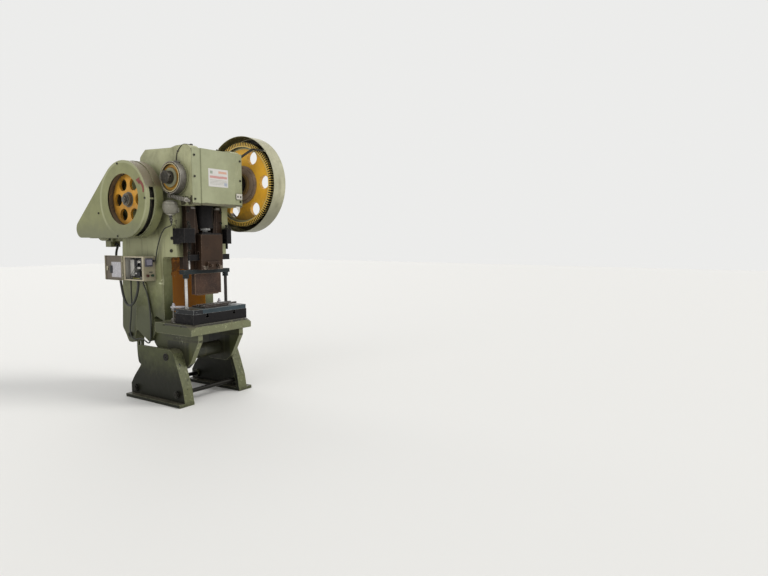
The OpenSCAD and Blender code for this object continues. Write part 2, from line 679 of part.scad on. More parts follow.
module brake_band() color(steel) place() difference() {
    union() {
        slab(-drum_in_x - drum_w + 3, -drum_in_x - 3) wrap(band_r, band_r + band_t, split_half);
        at_brake() {
            for (y = [-split_half - lug_t, split_half])
                block([-drum_w / 2 + 12, y, -band_r - lug_drop], [drum_w / 2 - 12, y + lug_t, -band_r - band_t / 2]);
            block([drum_w / 2 - 20, -30, band_r], [drum_w / 2 + 4 - seat_gap, 30, band_r + band_t + 10]);
        }
    }
    at_brake() y_rod(8 + face_gap, -40, 40, 0, brake_bolt_z);
}

module brake_bolt() color(dark_steel) place() at_brake() translate([0, 0, brake_bolt_z]) {
    y_rod(8, spring_front - 44, split_half + lug_t + 20);
    for (y = [split_half + lug_t, spring_front - 16, spring_front - 30])
        translate([0, y, 0]) rotate([-90, 0, 0]) cylinder(r = 15, h = 13, $fn = 6);
    y_rod(22, spring_front - 3, spring_front - face_gap);
}

module brake_spring() color(dark_steel) place() at_brake() translate([0, 0, brake_bolt_z])
    let (steps = 10 * spring_turns, y0 = -split_half - lug_t - face_gap - 3, run = y0 - spring_front - 3.5)
        tube([for (i = [0:steps]) let (t = 36 * i) [spring_r * cos(t), y0 - run * i / steps, spring_r * sin(t)]], 7);

// Air bowl of the brake: a round pot on a stub pipe, with a leaning drain valve below
bowl_profile = [[0, -62], [34, -60], [54, -44], [66, -20], [bowl_r, 4], [bowl_r, 30], [bowl_r - 5, 34],
                [bowl_r - 4, 40], [64, 54], [46, 67], [24, 74], [0, 76]];
pipe_z = bowl_z - 14;
module air_bowl() color(steel) place() {
    translate([bowl_x, bowl_y, bowl_z]) rotate_extrude() polygon(bowl_profile);
    hull() {
        translate([bowl_x, bowl_y, bowl_z - 66]) cylinder(r = 19, h = 8, $fn = 6);
        translate([bowl_x, bowl_y - drain_lean / 2, bowl_z - 88]) cylinder(r = 17, h = 8, $fn = 6);
    }
    hull() {
        translate([bowl_x, bowl_y - drain_lean / 2, bowl_z - 90]) cylinder(r = 12, h = 6, $fn = 24);
        translate([bowl_x, bowl_y - drain_lean, bowl_z - 142]) cylinder(r = 10, h = 8, $fn = 24);
    }
    block([bowl_x - 24, bowl_y - drain_lean - 26, bowl_z - 116], [bowl_x + 2, bowl_y - drain_lean, bowl_z - 104]);
    x_rod(13, bowl_x + bowl_r - 12, -frame_half, bowl_y, pipe_z);
    for (x = [bowl_x + bowl_r - 4, -frame_half - 16]) translate([x, bowl_y, pipe_z]) rotate([0, 90, 0])
        cylinder(r = x < -frame_half - 16 ? 24 : 29, h = 16, $fn = 6);
}

// Guards of the flywheel and the belts
wheel_c = [shaft_y, shaft_z];
tail_c = [tail_y, tail_z];
guard_post_r = 9;
guard_posts = [wheel_c + [64, 342], wheel_c + [-344, 0], wheel_c + [402, -124], wheel_c + [98, -353]];
slot_x = 36;
slot_w = 50;
module guard_outline(inset) polygon(belt_line(wheel_c, guard_r - inset, tail_c, tail_r - inset));

module flywheel_guard() color(green) place() difference() {
    slab(-guard_face_x, -guard_seam_x) guard_outline(0);
    slab(-guard_face_x + sheet_t, -guard_seam_x + 1) guard_outline(sheet_t);
    x_rod(window_r, -guard_face_x - 1, -guard_face_x + sheet_t + 1, shaft_y, shaft_z);
    at_guard_screws() translate([0, 0, -sheet_t - 1]) cylinder(r = 5.5 + face_gap, h = sheet_t + 2);
    slab(-guard_face_x + slot_x, -guard_face_x + slot_x + slot_w) translate(wheel_c) polygon(concat([[0, 0]],
        [for (t = [163:6:253]) (guard_r + 20) * [cos(t), sin(t)]]));
}

module guard_back() color(green) place() {
    difference() {
        slab(-guard_seam_x + face_gap, -guard_back_x) guard_outline(-6);
        slab(-guard_seam_x - 1, -guard_back_x - sheet_t) guard_outline(sheet_t - 6);
        x_rod(110, -guard_back_x - sheet_t - 1, -guard_back_x + 1, shaft_y, shaft_z);
        x_rod(48, -guard_back_x - sheet_t - 1, -guard_back_x + 1, tail_y, tail_z);
    }
    difference() {
        for (p = guard_posts) x_rod(guard_post_r, -guard_face_x + sheet_t + face_gap, -guard_back_x, p.x, p.y);
        at_guard_screws() translate([0, 0, -36]) cylinder(r = 5.5 + face_gap, h = 37);
    }
    for (p = [[250, 2150], [500, 2290], [620, 1730], [270, 1800]])
        x_rod(16, -guard_back_x - 1, -frame_half, p.x, p.y);
}

// Guard of the bull gear: a ring with a bulge over the pinion, closed outside round a window
bulge_r = pinion_r + gear_module + 26;
gear_window_r = 398;
pinion_c = [shaft_y, shaft_z];
stay_ends = [[[-110, 2400], [-217, 2544]], [[420, 2300], [311, 2583]], [[230, 1950], [130, 1700]]];
stay_tip = [-388, 2508];
module ring_outline(inset) {
    translate([0, crank_z]) circle(r = ring_r - inset, $fn = 96);
    polygon(belt_line([shaft_y * 0.45, crank_z - shaft_drop * 0.45], ring_r * 0.72 - inset, pinion_c, bulge_r - inset));
}
module bar_between(p, q, w, t) let (d = q - p, l = norm(d))
    translate(p) rotate([0, acos(d.z / l), atan2(d.y, d.x)]) translate([-t / 2, -w / 2, 0]) cube([t, w, l]);

module gear_guard() color(green) place() difference() {
    union() {
        difference() {
            slab(ring_x, ring_x + ring_w) ring_outline(0);
            slab(ring_x - 1, ring_x + ring_w - sheet_t) ring_outline(sheet_t);
            x_rod(gear_window_r, ring_x + ring_w - sheet_t - 1, ring_x + ring_w + 1, 0, crank_z);
        }
        for (s = stay_ends) bar_between([frame_half, s[0].x, s[0].y], [ring_x + 8, s[1].x, s[1].y], 34, 8);
        bar_between([ring_x + 8, stay_ends[0][1].x + 12, stay_ends[0][1].y - 4], [ring_x + 8, stay_tip.x, stay_tip.y], 9, 16);
    }
    block([frame_half - 60, -300, 1500], [frame_half, 700, 2800]);
}

// Motor on a bracket behind the columns, its fan cowl at the far end
motor_foot = 132;
motor_shaft_r = 19;
bracket_y = tail_y - motor_foot;
bracket_t = 26;
module motor_plate() color(green) place() difference() {
    union() {
        block([-frame_half - 29, bracket_y - bracket_t, tail_z - 130], [inner_half + 30, bracket_y, tail_z + 130]);
        for (x = [-frame_half, inner_half]) block([x, column_back - 60, tail_z - 126], [x + 30, bracket_y - bracket_t + 1, tail_z + 30]);
    }
    slab(-frame_half - 1, inner_half + 31) polygon(rounded(cheek_path));
}

module motor() color(green) place() difference() {
    union() {
        x_rod(motor_r - 12, motor_out_x + 30, motor_in_x - 90, tail_y, tail_z);
        for (i = [0:23]) translate([motor_out_x + 40, tail_y, tail_z]) rotate([15 * i, 0, 0])
            block([0, motor_r - 14, -2], [motor_in_x - 100 - motor_out_x - 40, motor_r, 2]);
        x_rod(motor_r, motor_out_x + 14, motor_out_x + 42, tail_y, tail_z);
        x_rod(motor_r - 40, motor_out_x, motor_out_x + 15, tail_y, tail_z, motor_r - 8);
        x_rod(motor_r + 2, motor_in_x - 104, motor_in_x - 12, tail_y, tail_z);
        x_rod(motor_r + 2, motor_in_x - 13, motor_in_x, tail_y, tail_z, motor_r - 16);
        for (x = [motor_out_x + 60, motor_in_x - 150]) for (s = [-1, 1])
            block([x, bracket_y, tail_z + (s > 0 ? 66 : -106)], [x + 44, tail_y - 30, tail_z + (s > 0 ? 106 : -66)]);
    }
    x_rod(motor_shaft_r + 1, motor_out_x - 1, motor_in_x - 60, tail_y, tail_z);
}

term_low = [motor_out_x + 76, tail_y - 47, tail_z - motor_r - 66];
module terminal_box() color(green) place() difference() {
    block(term_low, [motor_out_x + 186, tail_y + 47, tail_z - motor_r * 0.8]);
    x_rod(motor_r + face_gap, motor_out_x + 66, motor_out_x + 196, tail_y, tail_z);
}

// V belts between the flywheel's and the pulley's grooves
function belt_x(i) = -flywheel_x + 14 + belt_pitch * i;
groove_w = belt_w + 1.2;
belt_in = 12;
groove_in = belt_in + 2;
module v_belts() color(rubber) place() for (i = [0:belt_count - 1])
    slab(belt_x(i), belt_x(i) + belt_w) difference() {
        polygon(belt_line(wheel_c, flywheel_r + 1, tail_c, pulley_r + 1));
        polygon(belt_line(wheel_c, flywheel_r - belt_in, tail_c, pulley_r - belt_in));
    }
module grooved(r, x0, w) translate([x0, 0, 0]) rotate([0, 90, 0]) rotate_extrude() difference() {
    translate([0, 0]) square([r, w]);
    for (i = [0:belt_count - 1]) translate([r - groove_in, belt_x(i) - x0 - 0.6]) square([groove_in + 1, groove_w]);
}

// Control box on the left column, open on its outer side
panel_x = -frame_half - wall_t;
box_rim = 26;
module control_box() color(beige) place() difference() {
    union() {
        block([-box_x, box_y, box_z], [-frame_half, box_y + box_len, box_top_z]);
        for (z = hinge_z, up = [0, 30]) {
            translate([hinge_x, hinge_y, z + up]) cylinder(r = 3.5, h = 10);
            block([hinge_x, hinge_y - 3.5, z + up], [-box_x + 9, hinge_y + 3.5, z + up + 10]);
            block([-box_x, box_y + box_len - 1, z + up], [-box_x + 9, hinge_y, z + up + 10]);
        }
    }
    block([-box_x + wall_t, box_y + wall_t, box_z + wall_t], [panel_x, box_y + box_len - wall_t, box_top_z - wall_t]);
    block([-box_x - 1, box_y + box_rim, box_z + 12], [-box_x + wall_t + 1, box_y + box_len - box_rim, box_top_z - 12]);
    for (x = button_x) y_rod(button_r - 3.7, box_y - 1, box_y + wall_t + 1, -x, button_z);
    for (y = gland_y) translate([gland_x, y, box_z - 1]) cylinder(r = 9, h = wall_t + 2);
    y_rod(6.5, box_y - 1, box_y + wall_t + 1, thin_gland.x, thin_gland.y);
    for (z = hinge_z) translate([hinge_x, hinge_y, z - 1]) cylinder(r = 2.5 + run_gap, h = 42);
}

module panel_meter() color(dark_steel) place() {
    difference() {
        block([-box_x + 16, box_y - 14, box_top_z - 100], [-box_x + 96, box_y - face_gap, box_top_z - 18]);
        y_rod(34, box_y - 15, box_y - 11, -box_x + 56, box_top_z - 59);
        y_rod(2, box_y - 15, box_y - 12, -box_x + 22, box_top_z - 24);
    }
}

// Contactors, relay and terminals on the panel inside the box
module contactors() color(dark_steel) place() translate([panel_x - face_gap, box_y, box_z]) {
    for (i = [0:1]) translate([0, 62 + 96 * i, 128]) {
        block([-58, 0, 0], [0, 76, 92]);
        block([-78, 12, 18], [-57, 64, 74]);
        for (k = [0:2]) block([-66, 10 + 20 * k, 76], [-57, 22 + 20 * k, 90]);
    }
    block([-72, 232, 40], [0, 300, 206]);
    block([-40, 40, 62], [0, 214, 92]);
    for (k = [0:7]) block([-50, 44 + 21 * k, 66], [-39, 58 + 21 * k, 88]);
}

gland_h = 15;
module gland(d) {
    translate([0, 0, -gland_h]) cylinder(r = d / 2 + 3, h = gland_h - 6);
    translate([0, 0, -6.01]) cylinder(r = d / 2 + 6, h = 6.01, $fn = 6);
}
module cable_glands() color(dark_steel) place() {
    for (y = [gland_y[0], gland_y[2]]) translate([gland_x, y, box_z]) gland(column_lead_d);
    translate([gland_x, gland_y[1], box_z]) gland(lead_d);
    translate([thin_gland.x, box_y, thin_gland.y]) rotate([-90, 0, 0]) gland(thin_lead_d);
    translate([term_gland.x, term_low.y, term_gland.y]) rotate([-90, 0, 0]) gland(lead_d);
}

module motor_lead() color(rubber) place() tube(motor_lead_route, lead_d);
module column_lead() color(rubber) place() tube(column_lead_route, column_lead_d);
module brake_lead() color(rubber) place() tube(brake_lead_route, thin_lead_d);

// Die base with two guide pillars, strapped to the bed
module at_pillars() for (s = [-1, 1]) translate([s * pillar_x, pillar_y, bolster_top_z]) children();
die_block_t = 15;
stripper_y = [-148, -66];
module die_base() color(die_blue) place() difference() {
    union() {
        block([-bolster_w / 2 + 6, bolster_front + 2, bolster_top_z], [bolster_w / 2 - 6, bolster_back, die_top_z]);
        block([-150, -150, die_top_z - 1], [150, 40, die_top_z + die_block_t]);
        for (y = stripper_y) block([-165, y, die_top_z + die_block_t - 1], [262, y + 26, die_top_z + die_block_t + 16]);
    }
    block([-70, -100, bolster_top_z - 1], [70, 4, die_top_z + 20]);
    at_pillars() translate([0, 0, -1]) cylinder(r = pillar_d / 2 + seat_gap, h = die_base_t + 2);
    at_bolster_bolts() translate([0, 0, -1]) cylinder(r = 20, h = die_base_t + 2);
}
pillar_top_z = punch_top_z - 6;
module guide_pillars() color(white) place() at_pillars() {
    cylinder(r = pillar_d / 2, h = pillar_top_z - bolster_top_z - 4);
    translate([0, 0, pillar_top_z - bolster_top_z - 4.01]) cylinder(r1 = pillar_d / 2, r2 = pillar_d / 2 - 4, h = 4);
    translate([0, 0, die_base_t]) cylinder(r = pillar_d / 2 + 9, h = 12);
}

clamp_stud = [290, 146];
clamp_tip = [238, 50];
module die_clamps() color(white) place() both_sides() {
    translate([clamp_stud.x, clamp_stud.y, bed_top_z]) {
        cylinder(r = 24, h = 36);
        cylinder(r = 9, h = die_top_z - bed_top_z + 46);
        translate([0, 0, die_top_z - bed_top_z + 16]) cylinder(r = 16, h = 15, $fn = 6);
        translate([0, 0, die_top_z - bed_top_z - 26]) cylinder(r = 20, h = 27);
    }
    translate([clamp_stud.x, clamp_stud.y, die_top_z])
        rotate([0, 0, atan2(clamp_tip.y - clamp_stud.y, clamp_tip.x - clamp_stud.x)])
            translate([-20, -19, 0]) cube([norm(clamp_tip - clamp_stud) + 22, 38, 16]);
}

// Crankshaft: journals, two webs and the pin, one forging
module crankshaft() color(dark_steel) place() difference() {
    union() {
        x_rod(journal_r, -shaft_end_x, -web_x, 0, crank_z);
        x_rod(journal_r, web_x, gear_x + gear_face / 2 + 36, 0, crank_z);
        x_rod(pin_r, -web_x - 1, web_x + 1, 0, pin_z);
        both_sides() slab(web_x, web_x + web_t) {
            translate([0, crank_z]) circle(r = web_r);
            translate([0, pin_z]) circle(r = web_r);
            translate([-web_r, crank_z]) square([2 * web_r, throw]);
        }
        both_sides() x_rod(journal_r + 14, web_x + web_t - 1, inner_half - face_gap, 0, crank_z);
    }
    y_rod(9, -journal_r - 1, -journal_r + 24, -shaft_end_x + 21, crank_z + 6);
}

drum_hub_r = 88;
module brake_drum() color(yellow) place() difference() {
    x_rod(drum_r, -drum_in_x - drum_w, -drum_in_x, 0, crank_z);
    difference() {
        x_rod(drum_r - 10, -drum_in_x - drum_w - 1, -drum_in_x - drum_w + 20, 0, crank_z);
        x_rod(drum_hub_r, -drum_in_x - drum_w - 2, -drum_in_x - drum_w + 21, 0, crank_z, drum_hub_r + 8);
    }
    x_rod(journal_r + seat_gap, -drum_in_x - drum_w - 1, -drum_in_x + 1, 0, crank_z);
}

module clutch_ring() color(dark_steel) place() difference() {
    union() {
        x_rod(gear_hub_r, gear_hub_in, gear_x - gear_face / 2 - 24, 0, crank_z);
        x_rod(gear_hub_r + 34, gear_hub_in + 40, gear_hub_in + 76, 0, crank_z);
    }
    x_rod(journal_r + seat_gap, gear_hub_in - 1, gear_x, 0, crank_z);
}

ear = 28;
neck_top_z = crank_z - web_r - 10;

// Connecting rod: upper half eye, socket for the adjusting screw, bolted cap above
module eye_cut() x_rod(pin_r + run_gap, -rod_half - 1, rod_half + 1, 0, pin_z);
module connecting_rod() color(cast_black) place() difference() {
    union() {
        x_rod(big_end_r, -rod_half, rod_half, 0, pin_z);
        block([-rod_half, -big_end_r - ear, pin_z - 62], [rod_half, big_end_r + ear, pin_z]);
        translate([0, 0, socket_bottom_z]) cylinder(r = socket_r, h = 250);
        translate([0, 0, socket_bottom_z + 240]) cylinder(r1 = socket_r, r2 = rod_half, h = neck_top_z - socket_bottom_z - 240);
        translate([0, 0, neck_top_z - 1]) cylinder(r = rod_half, h = pin_z - 80 - neck_top_z);
        translate([0, 0, socket_bottom_z - 0.01]) cylinder(r1 = socket_r - 6, r2 = socket_r, h = 10);
    }
    eye_cut();
    block([-rod_half - 1, -big_end_r - 30, pin_z], [rod_half + 1, big_end_r + 30, pin_z + 200]);
    translate([0, 0, socket_bottom_z - 2]) cylinder(r = screw_r + seat_gap, h = 222);
    at_rod_bolts() translate([0, 0, -70]) cylinder(r = 11 + face_gap, h = 140);
}
module at_rod_bolts() for (s = [-1, 1], x = [-32, 32]) translate([x, s * (big_end_r + 9), pin_z]) children();
module rod_cap() color(cast_black) place() difference() {
    union() {
        x_rod(big_end_r, -rod_half, rod_half, 0, pin_z);
        block([-rod_half, -big_end_r - ear, pin_z], [rod_half, big_end_r + ear, pin_z + 46]);
    }
    eye_cut();
    block([-rod_half - 1, -big_end_r - 30, pin_z - 200], [rod_half + 1, big_end_r + 30, pin_z]);
    at_rod_bolts() translate([0, 0, -1]) cylinder(r = 11 + face_gap, h = 140);
}
module rod_bolts() color(dark_steel) place() at_rod_bolts() {
    translate([0, 0, -82]) cylinder(r = 11, h = 136);
    translate([0, 0, 46]) cylinder(r = 18, h = 15, $fn = 6);
    translate([0, 0, -62 - 15]) cylinder(r = 18, h = 15, $fn = 6);
}
module adjusting_screw() color(steel) place() translate([0, 0, ball_z]) {
    sphere(r = ball_r);
    cylinder(r = neck_r, h = 110);
    translate([0, 0, socket_bottom_z - ball_z - collar_h]) cylinder(r = 54, h = collar_h - seat_gap, $fn = 6);
    translate([0, 0, socket_bottom_z - ball_z - 1]) cylinder(r = screw_r, h = 200);
}

// Ram: front box, vee flanks and an open recess for the connecting rod
cavity_r = ball_r + 2.5;
module ram() color(dark_brown) place() difference() {
    union() {
        block([-ram_w / 2, -ram_front, ram_bottom_z], [ram_w / 2, vee_mid_y - vee_depth + 1, ram_top_z]);
        translate([0, 0, ram_bottom_z]) linear_extrude(ram_guide_top_z - ram_bottom_z) polygon([
            [-vee_in, vee_mid_y - vee_depth], [vee_in, vee_mid_y - vee_depth], [vee_in + vee_depth, vee_mid_y],
            [vee_in, vee_mid_y + vee_depth], [vee_in, ram_back], [-vee_in, ram_back],
            [-vee_in, vee_mid_y + vee_depth], [-vee_in - vee_depth, vee_mid_y]]);
    }
    translate([0, ram_back + 1, 0]) rotate([90, 0, 0]) linear_extrude(ram_back + ram_front) polygon([
        [-socket_r - 4, ram_top_z], [socket_r + 4, ram_top_z], [vee_in - 10, ram_guide_top_z + 1],
        [-vee_in + 10, ram_guide_top_z + 1]]);
    translate([0, 0, ball_z - ball_r - ball_play - 2]) for (y = [0, throw]) translate([0, y, 0]) cylinder(r = cavity_r, h = 200);
    block([-cavity_r, 0, ball_z - ball_r - ball_play - 2], [cavity_r, throw, ram_top_z + 1]);
    translate([0, 0, ball_z - ball_r - ball_play - 28]) cylinder(r = ball_r + seat_gap, h = 30);
    block([-ram_w, bar_y - bar_t / 2 - face_gap, bar_z - face_gap],
          [ram_w, bar_y + bar_t / 2 + face_gap, bar_z + bar_h + bar_lift + face_gap]);
}

module ball_cap() color(steel) place() difference() {
    union() {
        translate([0, 0, ram_top_z]) cylinder(r = 60, h = 26);
        block([-116, -ram_front + 3, ram_top_z], [116, vee_mid_y - vee_depth - face_gap, ram_top_z + 15]);
    }
    for (y = [0, throw]) translate([0, y, ram_top_z - 1]) cylinder(r = neck_r + 3, h = 40);
    block([-neck_r - 3, 0, ram_top_z - 1], [neck_r + 3, 80, ram_top_z + 40]);
}

module ball_seat() color(bronze) place() difference() {
    translate([0, 0, ball_z - ball_r - ball_play - 28]) cylinder(r = ball_r, h = 26);
    translate([0, 0, ball_z - ball_r - ball_play - 8]) cylinder(r1 = 16, r2 = 34, h = 7);
}

module tool_clamp() color(dark_brown) place() {
    block([-74, -ram_front - 26, ram_bottom_z + 4], [74, -ram_front - face_gap, ram_bottom_z + 78]);
    for (x = [-44, 44]) translate([x, -ram_front - 26, ram_bottom_z + 42]) rotate([90, 0, 0]) {
        cylinder(r = 17, h = 15, $fn = 6);
        cylinder(r = 10, h = 30);
    }
}

boss_h = 40;
module upper_plate() color(die_blue) place() difference() {
    union() {
        block([-plate_half, plate_front, ram_bottom_z - plate_t], [plate_half, plate_back, ram_bottom_z]);
        at_pillars() translate([0, 0, punch_top_z - boss_h - bolster_top_z]) cylinder(r = 29, h = boss_h + 1);
    }
    at_pillars() translate([0, 0, punch_top_z - boss_h - 1 - bolster_top_z]) cylinder(r = pillar_d / 2 + run_gap, h = boss_h + plate_t + 3);
}

module punch_block() color(rust) place() {
    block([-punch_half, plate_front, punch_top_z - punch_h], [punch_half, plate_front + punch_t, punch_top_z]);
    block([-punch_half + 30, plate_front + 6, punch_top_z - punch_h - 10], [punch_half - 30, plate_front + punch_t - 6, punch_top_z - punch_h + 1]);
}

module knockout_bar() color(dark_steel) place()
    block([-bar_half, bar_y - bar_t / 2, bar_z], [bar_half, bar_y + bar_t / 2, bar_z + bar_h]);

// Bull gear: toothed rim, web with six holes, hub; its clutch cover is bolted to the web
gear_in_x = gear_x - gear_face / 2;
gear_out_x = gear_x + gear_face / 2;
rim_in = gear_r - 40;
gear_web_t = 40;
web_hole_r = 68;
web_hole_at = 308;
module bull_gear() color(yellow) place() translate([0, 0, crank_z]) difference() {
    union() {
        slab(gear_in_x, gear_out_x) difference() {
            polygon(gear_outline(gear_r, gear_teeth, mesh_angle));
            circle(r = rim_in);
        }
        x_rod(rim_in + 1, gear_x - gear_web_t / 2, gear_x + gear_web_t / 2);
        x_rod(gear_hub_r + 24, gear_in_x - 20, gear_out_x + 8);
    }
    for (i = [0:5]) let (t = 177 + 60 * i)
        x_rod(web_hole_r, gear_in_x, gear_out_x, web_hole_at * cos(t), web_hole_at * sin(t));
    x_rod(journal_r + run_gap, gear_in_x - 30, gear_out_x + 20);
}

module clutch_cover() color(dark_brown) place() translate([0, 0, crank_z]) {
    difference() {
        union() {
            x_rod(200, gear_x - gear_web_t / 2 - 14, gear_x - gear_web_t / 2);
            x_rod(168, gear_x - gear_web_t / 2 - 26, gear_x - gear_web_t / 2 - 13);
        }
        x_rod(gear_hub_r + 24 + seat_gap, gear_in_x - 20, gear_out_x);
    }
    for (i = [0:7]) translate([gear_x - gear_web_t / 2 - 14, 184 * cos(45 * i), 184 * sin(45 * i)])
        rotate([0, -90, 0]) cylinder(r = 10, h = 8, $fn = 6);
}

// Flywheel: deep rim with belt grooves, thin web at the back with six holes, long hub
wheel_rim_in = flywheel_r - 76;
wheel_web_x = -flywheel_x + 45;
wheel_hole_r = 59;
wheel_hole_at = 166;
module flywheel() color(yellow) place() translate([0, shaft_y, shaft_z]) difference() {
    union() {
        difference() {
            grooved(flywheel_r, -flywheel_x, flywheel_w);
            x_rod(wheel_rim_in, -flywheel_x - 1, wheel_web_x, 0, 0);
            x_rod(wheel_rim_in, wheel_web_x + 26, -flywheel_back_x + 1, 0, 0);
        }
        x_rod(60, -flywheel_x + 14, -guard_back_x + 14);
    }
    for (i = [0:5]) x_rod(wheel_hole_r, wheel_web_x - 1, wheel_web_x + 27, wheel_hole_at * cos(60 * i), wheel_hole_at * sin(60 * i));
    x_rod(shaft_d / 2 + seat_gap, -flywheel_x, -guard_back_x + 20);
}

module back_shaft() color(steel) place() translate([0, shaft_y, shaft_z]) {
    x_rod(shaft_d / 2, -flywheel_x + 14, gear_x + pinion_face / 2 + 12);
    x_rod(46, -flywheel_x + 4, -flywheel_x + 14 - face_gap);
    translate([-flywheel_x - 12, 0, 0]) rotate([0, 90, 0]) cylinder(r = 32, h = 16.1, $fn = 6);
    x_rod(16, -flywheel_x - 18, -flywheel_x + 15);
    x_rod(shaft_d / 2 + 16, boss_face + face_gap, boss_face + 30);
}

module pinion() color(dark_steel) place() translate([0, shaft_y, shaft_z]) difference() {
    union() {
        slab(gear_x - pinion_face / 2, gear_x + pinion_face / 2)
            polygon(gear_outline(pinion_r, pinion_teeth, mesh_angle + 180 + 180 / pinion_teeth));
        x_rod(56, boss_face + 31, gear_x - pinion_face / 2 + 1);
    }
    x_rod(shaft_d / 2 + seat_gap, boss_face, gear_x + pinion_face);
}

module motor_pulley() color(dark_steel) place() translate([0, tail_y, tail_z]) {
    grooved(pulley_r, -flywheel_x + 6, 108);
    x_rod(motor_shaft_r, -flywheel_x + 112, motor_in_x - 70);
    x_rod(12, -flywheel_x - 2, -flywheel_x + 8);
}

// Door of the control box: a shallow tray hinged beside the box's rear edge, standing open
door_t = 2;
door_rim = 15;
door_len = box_len - 36;
door_y = hinge_y + 4;
hinge_z = [box_z + 30, box_top_z - 70];
module box_door() color(beige) place() {
    difference() {
        block([-box_x - door_rim, door_y, box_z - 4], [-box_x, door_y + door_len, box_top_z + 4]);
        block([-box_x - door_rim - 1, door_y + door_t, box_z - 4 + door_t],
              [-box_x - door_t, door_y + door_len - door_t, box_top_z + 4 - door_t]);
    }
    for (z = hinge_z) {
        translate([hinge_x, hinge_y, z]) cylinder(r = 2.5, h = 40);
        translate([hinge_x, hinge_y, z + 10 + face_gap]) cylinder(r = 3.5, h = 20 - 2 * face_gap);
        block([hinge_x - 3, hinge_y, z + 10 + face_gap], [hinge_x + 3, door_y + 1, z + 30 - face_gap]);
    }
    translate([-box_x - door_t, door_y + door_len - 34, box_z + box_h * 0.52]) rotate([0, -90, 0]) {
        cylinder(r = 13, h = 8);
        translate([-34, -7, 4]) cube([40, 14, 7]);
    }
}

module push_button(x) translate([-x, box_y, button_z]) {
    y_rod(button_r, -18, -button_travel - 1);
    y_rod(button_r - 4, -7, wall_t + 12);
}
module start_button() color([0.15, 0.4, 0.2]) place() push_button(button_x[0]);
module stop_button() color([0.6, 0.1, 0.1]) place() push_button(button_x[1]);

left_leg();
right_leg();
tie_bars();
pivot_shaft();
tilt_quadrants();
frame_casting();
tilt_lock_bolts();
bolster();
gibs();
knockout_brackets();
knockout_screws();
front_cover();
frame_screws();
crank_bushes();
brake_band();
brake_lining();
brake_bolt();
brake_spring();
air_bowl();
flywheel_guard();
guard_back();
gear_guard();
shaft_bushes();
motor_plate();
motor();
terminal_box();
v_belts();
control_box();
panel_meter();
contactors();
cable_glands();
motor_lead();
column_lead();
brake_lead();
die_base();
guide_pillars();
die_clamps();
crankshaft();
brake_drum();
clutch_ring();
connecting_rod();
rod_cap();
rod_bolts();
adjusting_screw();
ram();
ball_cap();
ball_seat();
tool_clamp();
upper_plate();
punch_block();
knockout_bar();
bull_gear();
clutch_cover();
flywheel();
back_shaft();
pinion();
motor_pulley();
box_door();
start_button();
stop_button();
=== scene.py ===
import math

import bmesh
import bpy
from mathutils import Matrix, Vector


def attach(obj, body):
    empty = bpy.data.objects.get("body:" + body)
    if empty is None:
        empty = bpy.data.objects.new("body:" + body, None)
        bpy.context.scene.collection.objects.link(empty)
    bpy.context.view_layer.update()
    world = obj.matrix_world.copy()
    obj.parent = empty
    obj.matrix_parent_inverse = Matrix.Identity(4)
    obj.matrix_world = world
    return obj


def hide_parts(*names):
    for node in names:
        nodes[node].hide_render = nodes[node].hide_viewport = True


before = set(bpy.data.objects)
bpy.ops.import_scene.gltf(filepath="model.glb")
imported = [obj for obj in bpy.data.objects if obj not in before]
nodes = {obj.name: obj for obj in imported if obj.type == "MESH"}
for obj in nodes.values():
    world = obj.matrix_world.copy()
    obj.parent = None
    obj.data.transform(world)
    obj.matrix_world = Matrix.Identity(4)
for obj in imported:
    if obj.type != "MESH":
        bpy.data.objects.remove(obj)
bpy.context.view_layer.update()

mm = 0.001  # metres
ramToRow = Vector((0, -0.290, 0))  # the ram's centre line stands 290 mm in front of the origin


# A point given in millimetres from the ram's centre line, in the row's own metres
def at(x, y, z):
    return Vector((x, y, z)) * mm + ramToRow


def addObject(name, data):
    thing = bpy.data.objects.new(name, data)
    bpy.context.scene.collection.objects.link(thing)
    return thing


# Camera at a standing person's eye, left of the press and in front of it
cameraLook = {
    "place": (-3.949, -4.937, 1.621),
    "tilt": 85.03,      # degrees from straight down
    "heading": -57.52,  # degrees from straight towards the press's back, clockwise when negative
    "lens": 27.05,
    "sensor": 36.0,
    "sight": 60,        # metres
}


def makeCamera(look):
    lens = bpy.data.cameras.new("camera")
    lens.lens = look["lens"]
    lens.sensor_width = look["sensor"]
    lens.clip_end = look["sight"]
    camera = addObject("camera", lens)
    camera.location = look["place"]
    camera.rotation_euler = (math.radians(look["tilt"]), 0, math.radians(look["heading"]))
    bpy.context.scene.camera = camera


makeCamera(cameraLook)
print("camera stands at", cameraLook["place"])


# A round rod swept along route points. The points' radius makes it thick, so that its box comes out right
def sweep(name, route, radius, roundness, steps):
    curve = bpy.data.curves.new(name, "CURVE")
    curve.dimensions = "3D"
    curve.bevel_depth = 1.0
    curve.bevel_resolution = roundness
    curve.resolution_u = steps
    curve.use_fill_caps = True
    line = curve.splines.new("BEZIER")
    line.bezier_points.add(len(route) - 1)
    for point, place in zip(line.bezier_points, route):
        point.co = at(*place)
        point.radius = radius
        point.handle_left_type = point.handle_right_type = "AUTO"
    return addObject(name, curve)


